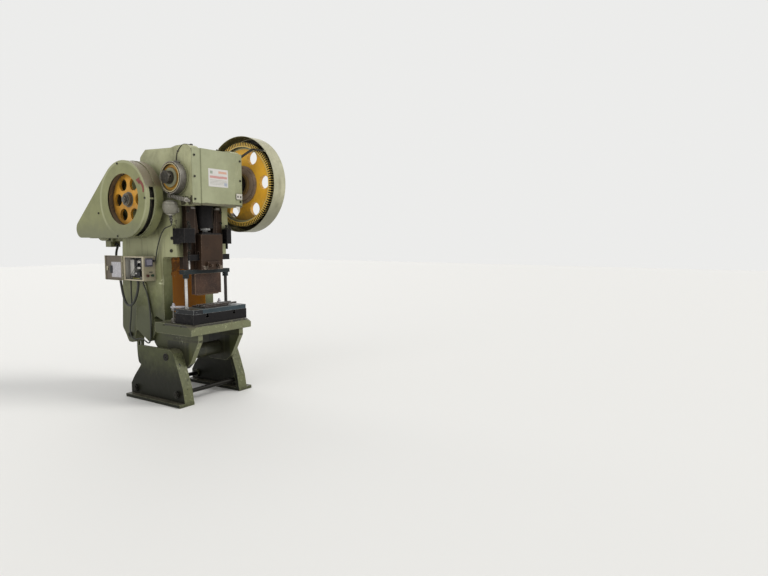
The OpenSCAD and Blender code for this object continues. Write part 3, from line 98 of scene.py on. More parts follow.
# Cords: the same route points as the solids that they stand for, millimetres from the ram's centre line
cordForm = {"roundness": 4, "steps": 4}
cordLooks = {
    "motorLead": {
        "node": "motor_lead", "diameter": 0.024, "length": 1.151, "stiffness": "medium",
        "route": [
            (-385, 560, 1180), (-385, 560, 1150), (-388, 572, 1080), (-391, 600, 1010), (-393, 645, 955),
            (-392, 705, 932), (-388, 765, 948), (-381, 812, 1000), (-374, 850, 1080), (-368, 880, 1170),
            (-358, 912, 1260), (-346, 950, 1340), (-336, 990, 1410), (-318, 1014, 1470), (-292, 1036, 1512),
            (-262, 1066, 1538), (-242, 1094, 1549), (-230, 1120, 1554), (-230, 1135, 1554),
        ],
    },
    "columnLead": {
        "node": "column_lead", "diameter": 0.014, "length": 1.551, "stiffness": "medium",
        "route": [
            (-385, 680, 1180), (-385, 680, 1150), (-379, 692, 1060), (-364, 712, 960), (-356, 738, 860),
            (-349, 762, 770), (-344, 784, 700), (-340, 790, 640), (-338, 770, 590), (-337, 725, 572),
            (-337, 665, 580), (-337, 605, 590), (-338, 560, 578), (-338, 520, 560), (-338, 485, 556),
            (-338, 462, 585), (-338, 452, 650), (-338, 446, 730), (-339, 446, 820), (-340, 452, 910),
            (-344, 462, 1000), (-356, 472, 1080), (-376, 476, 1140), (-385, 476, 1162), (-385, 476, 1180),
        ],
    },
    "brakeLead": {
        "node": "brake_lead", "diameter": 0.011, "length": 0.553, "stiffness": "medium",
        "route": [
            (-336, 365, 1392), (-336, 352, 1392), (-337, 332, 1420), (-339, 316, 1468), (-344, 290, 1530),
            (-352, 252, 1590), (-362, 208, 1646), (-372, 158, 1690), (-382, 108, 1716), (-390, 62, 1724),
            (-394, 32, 1730), (-395, 0, 1744), (-395, 0, 1758),
        ],
    },
}


def makeCord(name, look):
    cord = sweep(name, look["route"], look["diameter"] / 2, **cordForm)
    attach(cord, "frame")
    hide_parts(look["node"])
    return cord


cords = {name: makeCord(name, look) for name, look in cordLooks.items()}
print("cords hung:", len(cords))


# Shader building blocks: a hex code as a linear colour, sockets wired or set, and nodes by their kind
def colour(code):
    parts = [int(code[i:i + 2], 16) / 255 for i in (0, 2, 4)]
    return tuple(c / 12.92 if c <= 0.04045 else ((c + 0.055) / 1.055) ** 2.4 for c in parts) + (1.0,)


def wire(tree, socket, value):
    if isinstance(value, bpy.types.NodeSocket):
        tree.links.new(value, socket)
    else:
        socket.default_value = value


def addNode(tree, kind, values=None, **settings):
    node = tree.nodes.new("ShaderNode" + kind)
    for name, value in settings.items():
        setattr(node, name, value)
    for name, value in (values or {}).items():
        wire(tree, node.inputs[name], value)
    return node


# The Mix node's colour sockets are 6, 7 and output 2; its number sockets are 2, 3 and output 0
def mix(tree, factor, low, high):
    return addNode(tree, "Mix", {0: factor, 6: low, 7: high}, data_type="RGBA").outputs[2]


def mixValue(tree, factor, low, high):
    return addNode(tree, "Mix", {0: factor, 2: low, 3: high}).outputs[0]


def calc(tree, operation, first, second=0.0, clamp=False):
    return addNode(tree, "Math", {0: first, 1: second}, operation=operation, use_clamp=clamp).outputs[0]


def times(tree, first, second, clamp=False):
    return calc(tree, "MULTIPLY", first, second, clamp)


def minus(tree, first, second):
    return calc(tree, "SUBTRACT", first, second)


def ramp(tree, value, low, high, toLow=0.0, toHigh=1.0):
    node = addNode(tree, "MapRange", {"Value": value, "From Min": low, "From Max": high,
                                      "To Min": toLow, "To Max": toHigh}, interpolation_type="SMOOTHSTEP")
    return node.outputs[0]


def noise(tree, vector, scale, detail=3.0, roughness=0.55):
    return addNode(tree, "TexNoise", {"Vector": vector, "Scale": scale, "Detail": detail,
                                      "Roughness": roughness}).outputs["Fac"]


def stretched(tree, vector, x, y, z):
    return addNode(tree, "Mapping", {"Vector": vector, "Scale": (x, y, z)}).outputs[0]


def partsOf(tree, vector):
    return addNode(tree, "SeparateXYZ", {"Vector": vector}).outputs


# How far a face looks along an axis, from -1 to 1
def lookingAlong(tree, axis):
    return partsOf(tree, addNode(tree, "NewGeometry").outputs["Normal"])[axis]


# A node group of numbers made from a vector and further numbers
def newGroup(name, inputs, outputs=("Mask",)):
    tree = bpy.data.node_groups.new(name, "ShaderNodeTree")
    tree.interface.new_socket(name="Vector", in_out="INPUT", socket_type="NodeSocketVector")
    for socketName, value in inputs.items():
        socket = tree.interface.new_socket(name=socketName, in_out="INPUT", socket_type="NodeSocketFloat")
        socket.default_value = value
    for socketName in outputs:
        tree.interface.new_socket(name=socketName, in_out="OUTPUT", socket_type="NodeSocketFloat")
    return tree, tree.nodes.new("NodeGroupInput").outputs, tree.nodes.new("NodeGroupOutput").inputs


def useGroup(tree, name, vector, **values):
    node = tree.nodes.new("ShaderNodeGroup")
    node.node_tree = groups[name]
    for socketName, value in {"Vector": vector, **values}.items():
        wire(tree, node.inputs[socketName], value)
    return node.outputs


# Paint knocked off along outside edges, in ragged chips
edgeForm = {"push": 2.2, "bar": 0.95, "soft": 0.08, "detail": 6.0, "rough": 0.7, "samples": 6}


def makeEdgeWear(form):
    tree, given, out = newGroup("edgeWear", {"Width": 0.01, "Scale": 20.0, "Amount": 0.5})
    inside = addNode(tree, "AmbientOcclusion", {"Distance": given["Width"]}, inside=True, only_local=True,
                     samples=form["samples"]).outputs["AO"]
    ragged = noise(tree, given["Vector"], given["Scale"], form["detail"], form["rough"])
    reach = times(tree, minus(tree, 1.0, inside), times(tree, given["Amount"], form["push"]))
    mask = calc(tree, "ADD", reach, minus(tree, ragged, form["bar"]))
    wire(tree, out["Mask"], ramp(tree, mask, 0.0, form["soft"]))
    return tree


# Grease and dust that gather in corners and under ledges, with painted shade: corners and the undersides of
# ledges darkened as shade would darken them
grimeAndShadeForm = {"corner": (0.08, 0.75), "patches": (0.25, 0.75, 0.35, 1.3), "detail": 5.0, "rough": 0.65,
             "samples": 6}


def makeCornerGrimeAndShade(form):
    tree, given, out = newGroup("cornerGrimeAndShade", {"Reach": 0.12, "Scale": 6.0, "Amount": 0.6})
    outside = addNode(tree, "AmbientOcclusion", {"Distance": given["Reach"]},
                      samples=form["samples"]).outputs["AO"]
    cloud = noise(tree, given["Vector"], given["Scale"], form["detail"], form["rough"])
    corner = ramp(tree, minus(tree, 1.0, outside), *form["corner"])
    depth = times(tree, corner, ramp(tree, cloud, *form["patches"]))
    wire(tree, out["Mask"], times(tree, depth, given["Amount"], True))
    return tree


# Oil and dirt that ran down: long in z, broken up sideways
runForm = {"longer": 0.07, "streaks": (0.5, 0.72), "gapLonger": 0.5, "gapScale": 2.3, "gaps": (0.42, 0.62)}


def makeRuns(form):
    tree, given, out = newGroup("runs", {"Scale": 18.0, "Amount": 0.4})
    streaks = noise(tree, stretched(tree, given["Vector"], 1, 1, form["longer"]), given["Scale"], 4.0, 0.6)
    gaps = noise(tree, stretched(tree, given["Vector"], 1, 1, form["gapLonger"]), form["gapScale"])
    both = times(tree, ramp(tree, streaks, *form["streaks"]), ramp(tree, gaps, *form["gaps"]))
    wire(tree, out["Mask"], times(tree, both, given["Amount"], True))
    return tree


# Thin pale scratches and small knocks spread over a face
scuffForm = {"bent": (1, 2.6, 0.55), "scratch": 0.006, "placeScale": 3.1, "places": (0.56, 0.64),
             "chipScale": 5.0, "chips": (0.885, 0.905), "crowdScale": 2.2, "crowding": 0.35}


def makeScuffs(form):
    tree, given, out = newGroup("scuffs", {"Scale": 9.0, "Amount": 0.5}, ["Scratches", "Chips"])
    vector, amount = given["Vector"], given["Amount"]
    waves = noise(tree, stretched(tree, vector, *form["bent"]), given["Scale"], 2.0, 0.4)
    line = calc(tree, "ABSOLUTE", minus(tree, waves, 0.5))
    near = ramp(tree, line, 0.0, form["scratch"], 1.0, 0.0)
    some = ramp(tree, noise(tree, vector, form["placeScale"], 2.0), *form["places"])
    wire(tree, out["Scratches"], times(tree, times(tree, near, some), amount, True))
    small = noise(tree, vector, times(tree, given["Scale"], form["chipScale"]), 5.0, 0.75)
    crowd = times(tree, noise(tree, vector, form["crowdScale"]), form["crowding"])
    chips = ramp(tree, calc(tree, "ADD", small, crowd), *form["chips"])
    wire(tree, out["Chips"], times(tree, chips, amount, True))
    return tree


# Pale dust on what faces up
dustForm = {"patchScale": 11.0, "patches": (0.2, 0.75, 0.3, 1.0), "up": (0.35, 0.95)}


def makeDust(form):
    tree, given, out = newGroup("dust", {"Amount": 0.5})
    patchy = ramp(tree, noise(tree, given["Vector"], form["patchScale"], 5.0, 0.7), *form["patches"])
    up = ramp(tree, lookingAlong(tree, "Z"), *form["up"])
    wire(tree, out["Mask"], times(tree, times(tree, up, patchy), given["Amount"], True))
    return tree


# Height of a cast or rolled skin, from slow waves to fine grain
def makeSkin(grainShare):
    tree, given, out = newGroup("skin", {"Coarse": 14.0, "Fine": 160.0}, ["Height"])
    slow = noise(tree, given["Vector"], given["Coarse"])
    grain = noise(tree, given["Vector"], given["Fine"], 2.0)
    wire(tree, out["Height"], calc(tree, "ADD", slow, times(tree, grain, grainShare)))
    return tree


groups = {
    "edgeWear": makeEdgeWear(edgeForm),
    "cornerGrimeAndShade": makeCornerGrimeAndShade(grimeAndShadeForm),
    "runs": makeRuns(runForm),
    "scuffs": makeScuffs(scuffForm),
    "dust": makeDust(dustForm),
    "skin": makeSkin(0.25),
}
print("shader groups:", ", ".join(groups))


def newMaterial(name):
    material = bpy.data.materials.new(name)
    material.use_nodes = True
    tree = material.node_tree
    shader = tree.nodes["Principled BSDF"]
    vector = addNode(tree, "TexCoord").outputs["Object"]
    return material, tree, shader, vector


# 1 inside a box of the object's own metres, 0 outside
def insideBox(tree, vector, low, high):
    parts = partsOf(tree, vector)
    mask = None
    for axis in range(3):
        middle, half = (low[axis] + high[axis]) / 2, (high[axis] - low[axis]) / 2
        off = calc(tree, "ABSOLUTE", minus(tree, parts[axis], middle))
        near = calc(tree, "LESS_THAN", off, half)
        mask = near if mask is None else times(tree, mask, near)
    return mask


# How far points lie from an axis along X, in y and in z
def fromAxis(tree, vector, centre):
    parts = partsOf(tree, vector)
    return minus(tree, parts["Y"], centre.y), minus(tree, parts["Z"], centre.z)


# A vector pushed about by noise, so that the edge of a zone comes out ragged
shakeForm = {"Scale": 14.0, "Detail": 5.0, "Roughness": 0.7}


def shaken(tree, vector, amount):
    cloud = addNode(tree, "TexNoise", {"Vector": vector, **shakeForm}).outputs["Color"]
    centred = addNode(tree, "VectorMath", {0: cloud, 1: (0.5, 0.5, 0.5)}, operation="SUBTRACT").outputs[0]
    push = addNode(tree, "VectorMath", {0: centred, 1: (amount,) * 3}, operation="MULTIPLY").outputs[0]
    return addNode(tree, "VectorMath", {0: vector, 1: push}, operation="ADD").outputs[0]


# Places on the press, each as a mask maker. A box is in millimetres from the ram's centre line,
# and radii and heights are in metres
def boxZone(low, high):
    return lambda tree, vector: insideBox(tree, vector, at(*low), at(*high))


def lowZone(height, soft):
    return lambda tree, vector: ramp(tree, partsOf(tree, vector)["Z"], height - soft, height + soft, 1.0, 0.0)


def ringZone(centre, inner, outer):
    def makeMask(tree, vector):
        dy, dz = fromAxis(tree, vector, centre)
        radius = calc(tree, "SQRT", calc(tree, "ADD", times(tree, dy, dy), times(tree, dz, dz)))
        beyond = calc(tree, "GREATER_THAN", radius, inner)
        return times(tree, beyond, calc(tree, "LESS_THAN", radius, outer))
    return makeMask


# The part of a ring whose faces run along the shaft: tooth flanks, rims and bores
def flankZone(centre, inner, outer, lean=0.5):
    def makeMask(tree, vector):
        along = calc(tree, "LESS_THAN", calc(tree, "ABSOLUTE", lookingAlong(tree, "X")), lean)
        return times(tree, along, ringZone(centre, inner, outer)(tree, vector))
    return makeMask


# Faces that look forward, between two heights
def frontZone(low, high, lean=-0.45, side=2):
    def makeMask(tree, vector):
        forward = calc(tree, "LESS_THAN", lookingAlong(tree, "Y"), lean)
        return times(tree, forward, insideBox(tree, vector, (-side, -side, low), (side, side, high)))
    return makeMask


# Flaking paint: small spots inside another zone
def speckled(zone, scale, share, soft=0.03):
    def makeMask(tree, vector):
        spots = ramp(tree, noise(tree, vector, scale, 3.0, 0.75), 1.0 - share, 1.0 - share + soft)
        return times(tree, spots, zone(tree, vector))
    return makeMask


crankCentre = at(0, 0, 2187)
wheelCentre = at(0, 472.6, 1990)


# The upper rim of the wheel guard, where dust sits in old oil
def guardTop(tree, vector):
    low = lowZone(2.10, 0.04)(tree, vector)
    return times(tree, flankZone(wheelCentre, 0.28, 0.60)(tree, vector), minus(tree, 1.0, low))


# Black grease in the gaps between the gear's teeth, smeared onto the rim's face, and the worn tooth tops
toothLook = {
    "teeth": 109.0,
    "firstTooth": 0.49,  # degrees
    "smear": (0.408, 0.60),
    "share": 0.12,
    "tops": (0.4405, 0.60),
    "topsBox": ((0.47, -2, 0), (0.532, 2, 3)),
}


def toothGaps(tree, vector):
    dy, dz = fromAxis(tree, vector, crankCentre)
    turn = minus(tree, calc(tree, "ARCTAN2", dz, dy), math.radians(toothLook["firstTooth"]))
    wave = calc(tree, "COSINE", times(tree, turn, toothLook["teeth"]))
    gap = calc(tree, "LESS_THAN", wave, toothLook["share"])
    return times(tree, gap, ringZone(crankCentre, *toothLook["smear"])(tree, vector))


def toothTops(tree, vector):
    top = ringZone(crankCentre, *toothLook["tops"])(tree, vector)
    return times(tree, top, insideBox(tree, vector, *toothLook["topsBox"]))


# Each zone: its mask maker, its ink, and how ragged its edge is in metres
def layZones(tree, vector, ink, zones):
    for makeMask, code, ragged in zones:
        where = shaken(tree, vector, ragged) if ragged else vector
        ink = mix(tree, makeMask(tree, where), ink, colour(code))
    return ink


def emboss(tree, shader, height, look):
    bump = addNode(tree, "Bump", {"Height": height, "Strength": look["bump"], "Distance": look["depth"]})
    wire(tree, shader.inputs["Normal"], bump.outputs[0])


# Enamel over iron or sheet: tone, clouds and zones, then runs, corner grime with painted shade, dust,
# scratches, chips and worn edges.
# These values hold where a look names no other
paintBase = dict(
    patch=1.7, tones=(0.3, 0.7), cloudScale=7.0, clouds=(0.35, 0.7), cloudy=0.35, zones=[],
    matt=None, mattGloss=0.06, gloss=0.4, roughSpan=(-0.05, 0.07),
    runs=0.45, runScale=18.0, grimeAndShade=0.75, reach=0.12, greaseRough=0.42,
    dust=0.35, dustInk="827b68", dustRough=0.9, scuffs=0.6, scratchInk="b4b69c",
    wear=0.5, edge=0.008, edgeScale=24.0, edgeInk=None, wornRough=0.55,
    coarse=14.0, bump=0.35, depth=0.002, chipDepth=0.6)


def paint(name, look):
    look = paintBase | look
    material, tree, shader, vector = newMaterial(name)
    tone = ramp(tree, noise(tree, vector, look["patch"], 4.0, 0.6), *look["tones"])
    cloud = noise(tree, vector, look["cloudScale"], 6.0, 0.7)
    clouds = ramp(tree, cloud, *look["clouds"], 0.0, look["cloudy"])
    ink = mix(tree, tone, colour(look["base"]), colour(look["second"]))
    ink = mix(tree, clouds, ink, colour(look["dirt"]))
    ink = layZones(tree, vector, ink, look["zones"])
    runs = useGroup(tree, "runs", vector, Scale=look["runScale"], Amount=look["runs"])["Mask"]
    # Corner grime with painted shade: corners and undersides darkened as shade would darken them
    grimeAndShade = useGroup(tree, "cornerGrimeAndShade", vector, Reach=look["reach"], Amount=look["grimeAndShade"])["Mask"]
    dust = useGroup(tree, "dust", vector, Amount=look["dust"])["Mask"]
    scuffs = useGroup(tree, "scuffs", vector, Amount=look["scuffs"])
    wear = useGroup(tree, "edgeWear", vector, Width=look["edge"], Scale=look["edgeScale"],
                    Amount=look["wear"])["Mask"]
    layers = [
        (runs, look["dirt"]), (grimeAndShade, look["greaseAndShade"]), (dust, look["dustInk"]),
        (scuffs["Scratches"], look["scratchInk"]), (scuffs["Chips"], look["bare"]),
        (wear, look["edgeInk"] or look["bare"]),
    ]
    for mask, code in layers:
        ink = mix(tree, mask, ink, colour(code))
    wire(tree, shader.inputs["Base Color"], ink)
    shader.inputs["Specular IOR Level"].default_value = look["gloss"]
    if look["matt"]:
        gloss = mixValue(tree, look["matt"](tree, vector), look["gloss"], look["mattGloss"])
        wire(tree, shader.inputs["Specular IOR Level"], gloss)
    rough = mixValue(tree, tone, *(look["rough"] + change for change in look["roughSpan"]))
    for mask, value in ((grimeAndShade, look["greaseRough"]), (dust, look["dustRough"]), (wear, look["wornRough"])):
        rough = mixValue(tree, mask, rough, value)
    wire(tree, shader.inputs["Roughness"], rough)
    height = useGroup(tree, "skin", vector, Coarse=look["coarse"])["Height"]
    lost = calc(tree, "MAXIMUM", wear, scuffs["Chips"])
    emboss(tree, shader, minus(tree, height, times(tree, lost, look["chipDepth"])), look)
    return material


# Bare or blackened metal, rubber and plastic, with an oil film, fine turning or grinding marks, corner grime
# with painted shade, and where named a painted reflection that darkens faces seen edge-on.
# These values hold where a look names no other
metalBase = dict(
    patch=6.0, tones=(0.3, 0.7), marks=(60, 4, 4), markScale=12.0, markSpan=(0.45, 0.75), markShare=0.3,
    sideReflection=None, sideReflectionSpan=(0.25, 0.6), zones=[], metallic=0.0, greasyMetallic=0.3, gloss=0.5,
    roughSpan=(-0.08, 0.12), grimeAndShade=0.8, grimeAndShadeScale=14.0, reach=0.05,
    wear=0.6, edge=0.004, edgeScale=40.0, bump=0.2, depth=0.001)


def metal(name, look):
    look = metalBase | look
    material, tree, shader, vector = newMaterial(name)
    marks = stretched(tree, vector, *look["marks"])
    fine = noise(tree, marks, look["markScale"])
    tone = ramp(tree, noise(tree, vector, look["patch"], 4.0, 0.65), *look["tones"])
    ink = mix(tree, tone, colour(look["base"]), colour(look["second"]))
    marked = ramp(tree, fine, *look["markSpan"], 0.0, look["markShare"])
    ink = mix(tree, marked, ink, colour(look["bright"]))
    ink = layZones(tree, vector, ink, look["zones"])
    # Corner grime with painted shade: corners and undersides darkened as shade would darken them
    grimeAndShade = useGroup(tree, "cornerGrimeAndShade", vector, Reach=look["reach"], Scale=look["grimeAndShadeScale"],
                     Amount=look["grimeAndShade"])["Mask"]
    ink = mix(tree, grimeAndShade, ink, colour(look["greaseAndShade"]))
    wear = useGroup(tree, "edgeWear", vector, Width=look["edge"], Scale=look["edgeScale"],
                    Amount=look["wear"])["Mask"]
    ink = mix(tree, wear, ink, colour(look["bright"]))
    # Painted reflection: faces seen edge-on darken, as polished steel mirrors dark surroundings
    if look["sideReflection"]:
        rim = addNode(tree, "LayerWeight", {"Blend": 0.5}).outputs["Facing"]
        ink = mix(tree, ramp(tree, rim, *look["sideReflectionSpan"]), ink, colour(look["sideReflection"]))
    wire(tree, shader.inputs["Base Color"], ink)
    shader.inputs["Specular IOR Level"].default_value = look["gloss"]
    if look["metallic"]:
        shine = mixValue(tree, grimeAndShade, look["metallic"], look["metallic"] * look["greasyMetallic"])
        wire(tree, shader.inputs["Metallic"], shine)
    rough = mixValue(tree, fine, *(look["rough"] + change for change in look["roughSpan"]))
    wire(tree, shader.inputs["Roughness"], rough)
    emboss(tree, shader, useGroup(tree, "skin", marks, Coarse=3.0, Fine=20.0)["Height"], look)
    return material


# The opening through the casting, and the values that the green paints and the small plates share
throat = boxZone((-206.5, 44, 792), (206.5, 1200, 1931))
green = dict(dirt="5f5c41", greaseAndShade="2a291d", bare="4c4b3b", scratchInk="b9bb9f", rough=0.42)
smallPlate = dict(
    reach=0.02, runs=0.25, grimeAndShade=0.4, wear=0.3, edge=0.0012, edgeScale=90.0, dust=0.1, cloudy=0.2, bump=0.08)
paintLooks = {
    "castGreen": dict(
        green, base="b5b58d", second="a8a880", grimeAndShade=0.8, scuffs=0.8, wear=0.5, edge=0.010, bump=0.5,
        depth=0.004, runs=0.7, edgeInk="8f9072", cloudy=0.38, matt=throat, zones=[
            # Darker and darker towards the floor: dirt, and painted shade where less light reaches the lower
            # casting
            (lowZone(1.80, 0.20), "a1a27a", 0.35),
            (lowZone(1.25, 0.28), "6e714a", 0.4),
            (lowZone(0.98, 0.16), "43462b", 0.25),
            (lowZone(0.62, 0.16), "3f4127", 0.2),
            # Painted light: front faces lighter, as if they catch the light. Painted shade: dark under the
            # bed
            (frontZone(0.30, 0.80), "66684a", 0.05),
            (boxZone((-303, -60, 330), (303, 262, 600)), "2b2c1d", 0.03),
            # Scratches beside the throat
            (boxZone((-320, 130, 1160), (-305, 330, 1176)), "b9bb97", 0.05),
            (boxZone((-320, 240, 1150), (-305, 268, 1255)), "b3b592", 0.045),
            (boxZone((-320, 165, 1196), (-305, 300, 1208)), "b9bb97", 0.05),
            # Oil below the brake and the air bowl
            (boxZone((-320, -215, 1900), (-306, -40, 2010)), "45412f", 0.09),
            (boxZone((-320, -60, 1620), (-306, 90, 1790)), "5f5f45", 0.12),
            # The throat in ochre, darker at its top
            (throat, "ad7218", 0),
            (boxZone((-206.5, 44, 1240), (206.5, 1200, 1931)), "7d5314", 0.12),
            # Flakes on the bed's front, and oil on the bed. Along the bed's lower edge, oil and painted shade
            # under the bed's overhang
            (speckled(frontZone(0.55, 0.76), 38.0, 0.40), "8d8e6c", 0),
            (speckled(frontZone(0.55, 0.76), 30.0, 0.34), "2d2b1e", 0),
            (boxZone((-400, -240, 770), (400, 170, 793)), "2b2920", 0.03),
            (boxZone((-400, -240, 608), (400, 170, 632)), "35341f", 0.06),
        ]),
    "motorGreen": dict(
        green, base="8b8c69", second="7d7f5d", grimeAndShade=0.85, reach=0.05, scuffs=0.6, wear=0.5, edge=0.005,
        runs=0.5, cloudy=0.45),
    # The legs' green, darker than the casting's: dirt, and painted shade low down
    "legGreen": dict(
        green, base="4c4f33", second="42452b", dirt="1c1b12", greaseAndShade="15140e", grimeAndShade=0.9, scuffs=0.9,
        wear=0.5, edge=0.012, bump=0.6, depth=0.004, runs=0.7, edgeInk="6a6c50", gloss=0.2,
        scratchInk="6f7156", zones=[
            # Darker towards the floor: dirt and painted shade
            (lowZone(0.37, 0.17), "1a1b11", 0.25),
            # Painted light: front faces lighter. Flakes, pale and dark, on the front faces
            (frontZone(0.0, 0.6), "5a5c40", 0.05),
            (speckled(frontZone(0.0, 0.6), 42.0, 0.40), "7f8164", 0),
            (speckled(frontZone(0.0, 0.6), 34.0, 0.38), "23221a", 0),
        ]),
    "sheetGreen": dict(
        green, base="9c9e7e", second="929574", grimeAndShade=0.6, reach=0.08, scuffs=0.4, wear=0.35, edge=0.0035,
        bump=0.2, runs=0.3, cloudy=0.2, zones=[
            (boxZone((-320, -240, 1920), (320, -200, 1952)), "57543f", 0.03),
        ]),
    "guardGreen": dict(
        green, base="8b8c5f", second="808256", grimeAndShade=0.6, reach=0.08, scuffs=0.45, wear=0.45, edge=0.0035,
        bump=0.2, runs=0.4, cloudy=0.28, edgeInk="b0b18f", zones=[
            (ringZone(wheelCentre, 0.345, 0.372), "9a9b75", 0),
            (lowZone(1.74, 0.12), "6f7052", 0.2),
            (guardTop, "6a6049", 0.12),
        ]),
    "ringGreen": dict(
        green, base="bab698", second="aba88a", grimeAndShade=0.3, reach=0.06, scuffs=0.4, wear=0.4, edge=0.0035,
        bump=0.2, runs=0.35, zones=[
            (lowZone(1.96, 0.14), "84826a", 0.15),
            (flankZone(crankCentre, 0.0, 0.5025), "90865a", 0),
            # Dark inside the ring: grease with painted shade
            (ringZone(crankCentre, 0.0, 0.488), "2c281f", 0),
        ]),
    "gearYellow": dict(
        base="f6bd3c", second="ecae34", dirt="99702c", greaseAndShade="2c2115", bare="6e6250", rough=0.38, grimeAndShade=0.6,
        reach=0.06, runs=0.4, wear=0.45, edge=0.006, scuffs=0.5, scratchInk="f6d279", dust=0.15, cloudy=0.28,
        zones=[
            (lowZone(1.88, 0.10), "8f6f34", 0.3),
            (ringZone(crankCentre, 0.377, 0.60), "c9c294", 0.004),
            (ringZone(crankCentre, 0.400, 0.60), "e2b850", 0),
            (toothGaps, "1a1711", 0),
            (ringZone(crankCentre, 0.0, 0.165), "8a7045", 0.06),
            # The rim's inner wall: dirt with painted shade
            (flankZone(crankCentre, 0.36, 0.398), "3a3020", 0),
            (flankZone(crankCentre, 0.398, 0.60), "0d0c0a", 0),
            (toothTops, "d5c078", 0),
        ]),
    "flywheelYellow": dict(
        base="e3a634", second="cb902b", dirt="7a5722", greaseAndShade="2a1f15", bare="6e6250", rough=0.4, grimeAndShade=0.85,
        runs=0.4, wear=0.45, edge=0.006, scuffs=0.5, scratchInk="ecc169", dust=0.15, cloudy=0.45, zones=[
            # The rim's front face dark: grease with painted shade
            (ringZone(wheelCentre, 0.250, 0.60), "4d483c", 0.02),
            (flankZone(wheelCentre, 0.235, 0.30), "6d5f4d", 0),
            (ringZone(wheelCentre, 0.0, 0.075), "6b6659", 0.01),
        ]),
    "brakeGreen": dict(
        green, base="a3a383", second="93937a", grimeAndShade=0.8, reach=0.05, scuffs=0.5, wear=0.6, edge=0.005,
        cloudy=0.45, zones=[
            (ringZone(crankCentre, 0.092, 0.128), "c08f34", 0.004),
            (ringZone(crankCentre, 0.1265, 0.15), "bdb48e", 0),
            (flankZone(crankCentre, 0.124, 0.15), "6f6a5e", 0),
            (ringZone(crankCentre, 0.0, 0.062), "4b453a", 0.01),
        ]),
    "slideBrown": dict(
        base="3c2c20", second="2e2118", dirt="1b1614", greaseAndShade="0f0d0c", bare="6d6862", rough=0.32, gloss=0.15,
        grimeAndShade=0.7, runs=0.6, wear=0.55, edge=0.007, scuffs=0.7, scratchInk="5f4c40", dust=0.12,
        dustInk="51443a", edgeInk="6f6054", zones=[
            (boxZone((-160, -120, 1308), (160, -98, 1344)), "6f655a", 0.05),
            (boxZone((-180, -160, 1903), (180, 200, 1925)), "97948d", 0),
        ]),
    "clutchBrown": dict(
        base="a8937f", second="8a7564", dirt="5b4c3d", greaseAndShade="1a1511", bare="8a7f70", rough=0.36, grimeAndShade=0.5,
        reach=0.05, runs=0.5, wear=0.5, edge=0.006, scuffs=0.8, scratchInk="b0984a", dust=0.2, cloudy=0.4,
        zones=[
            (ringZone(crankCentre, 0.055, 0.10), "ad9646", 0.11),
        ]),
    "dieBlue": dict(
        base="324046", second="242e33", dirt="1f2528", greaseAndShade="0e1113", bare="8a8c8a", rough=0.4, gloss=0.25,
        grimeAndShade=0.75, runs=0.5, wear=0.65, edge=0.005, scuffs=0.9, scratchInk="8ea0a6", dust=0.25, zones=[
            (boxZone((-400, -300, 880), (-226, 300, 1000)), "17181a", 0.03),
            (boxZone((-166, -160, 933), (270, 50, 1000)), "3a2f28", 0),
        ]),
    "plateDark": dict(
        base="222a2b", second="1a2021", dirt="121516", greaseAndShade="0a0c0c", bare="6a6c6a", rough=0.4, gloss=0.2,
        grimeAndShade=0.7, runs=0.4, wear=0.5, edge=0.004, scuffs=0.7, scratchInk="5f6a6c", dust=0.2),
    "boxCream": dict(
        base="b8af96", second="aaa188", dirt="6b6350", greaseAndShade="332f25", bare="6a655a", rough=0.45, grimeAndShade=0.55,
        reach=0.04, runs=0.35, wear=0.4, edge=0.0016, edgeScale=60.0, scuffs=0.5, dust=0.2, cloudy=0.3,
        zones=[
            (boxZone((-440, 384, 1200), (-312, 704, 1432)), "c6c3ba", 0),
        ]),
    "doorCream": dict(
        base="6e6558", second="645b4f", dirt="4b443a", greaseAndShade="2c281f", bare="b5ad95", rough=0.5, grimeAndShade=0.4,
        reach=0.03, runs=0.3, wear=0.3, edge=0.0016, edgeScale=60.0, scuffs=0.3, dust=0.2, cloudy=0.3, zones=[
            (boxZone((-470, 700, 1180), (-448.5, 1010, 1450)), "b7b097", 0),
            (boxZone((-446.4, 700, 1180), (-440, 1010, 1450)), "aca48d", 0),
        ]),
    # Faint bars stand where print would be
    "namePlate": dict(
        smallPlate, base="cdcac5", second="c2bfb9", dirt="9c9683", greaseAndShade="6b6759", bare="8d8a80", rough=0.35,
        scuffs=0.25, zones=[
            (boxZone((-8, -226, 2244), (98, -220, 2266)), "c49a86", 0.013),
            (boxZone((-112, -226, 2196), (102, -220, 2219)), "b98b84", 0.013),
            *((boxZone((-112, -226, z), (100, -220, z + 4)), "9b9a92", 0.002)
              for z in (2176, 2163, 2150, 2137)),
            (boxZone((66, -226, 2128), (104, -220, 2158)), "9aa0ab", 0.003),
            (boxZone((-110, -226, 2238), (-78, -220, 2266)), "8f9788", 0.008),
        ]),
    "tagWhite": dict(
        smallPlate, base="d3d0c6", second="c6c2b6", dirt="8b8779", greaseAndShade="57534a", bare="2a2824", rough=0.4,
        scuffs=0.3, zones=[
            (boxZone((236, -226, 2026), (252, -220, 2046)), "26241f", 0.006),
            (boxZone((272, -226, 2022), (290, -220, 2044)), "2d2b26", 0.006),
        ]),
    "meterGrey": dict(
        smallPlate, base="66636e", second="57545f", dirt="38363e", greaseAndShade="151418", bare="77757c", rough=0.4,
        reach=0.01, runs=0.2, wear=0.4, edgeScale=80.0, scuffs=0.2, bump=0.1),
}
materials = {name: paint(name, look) for name, look in paintLooks.items()}

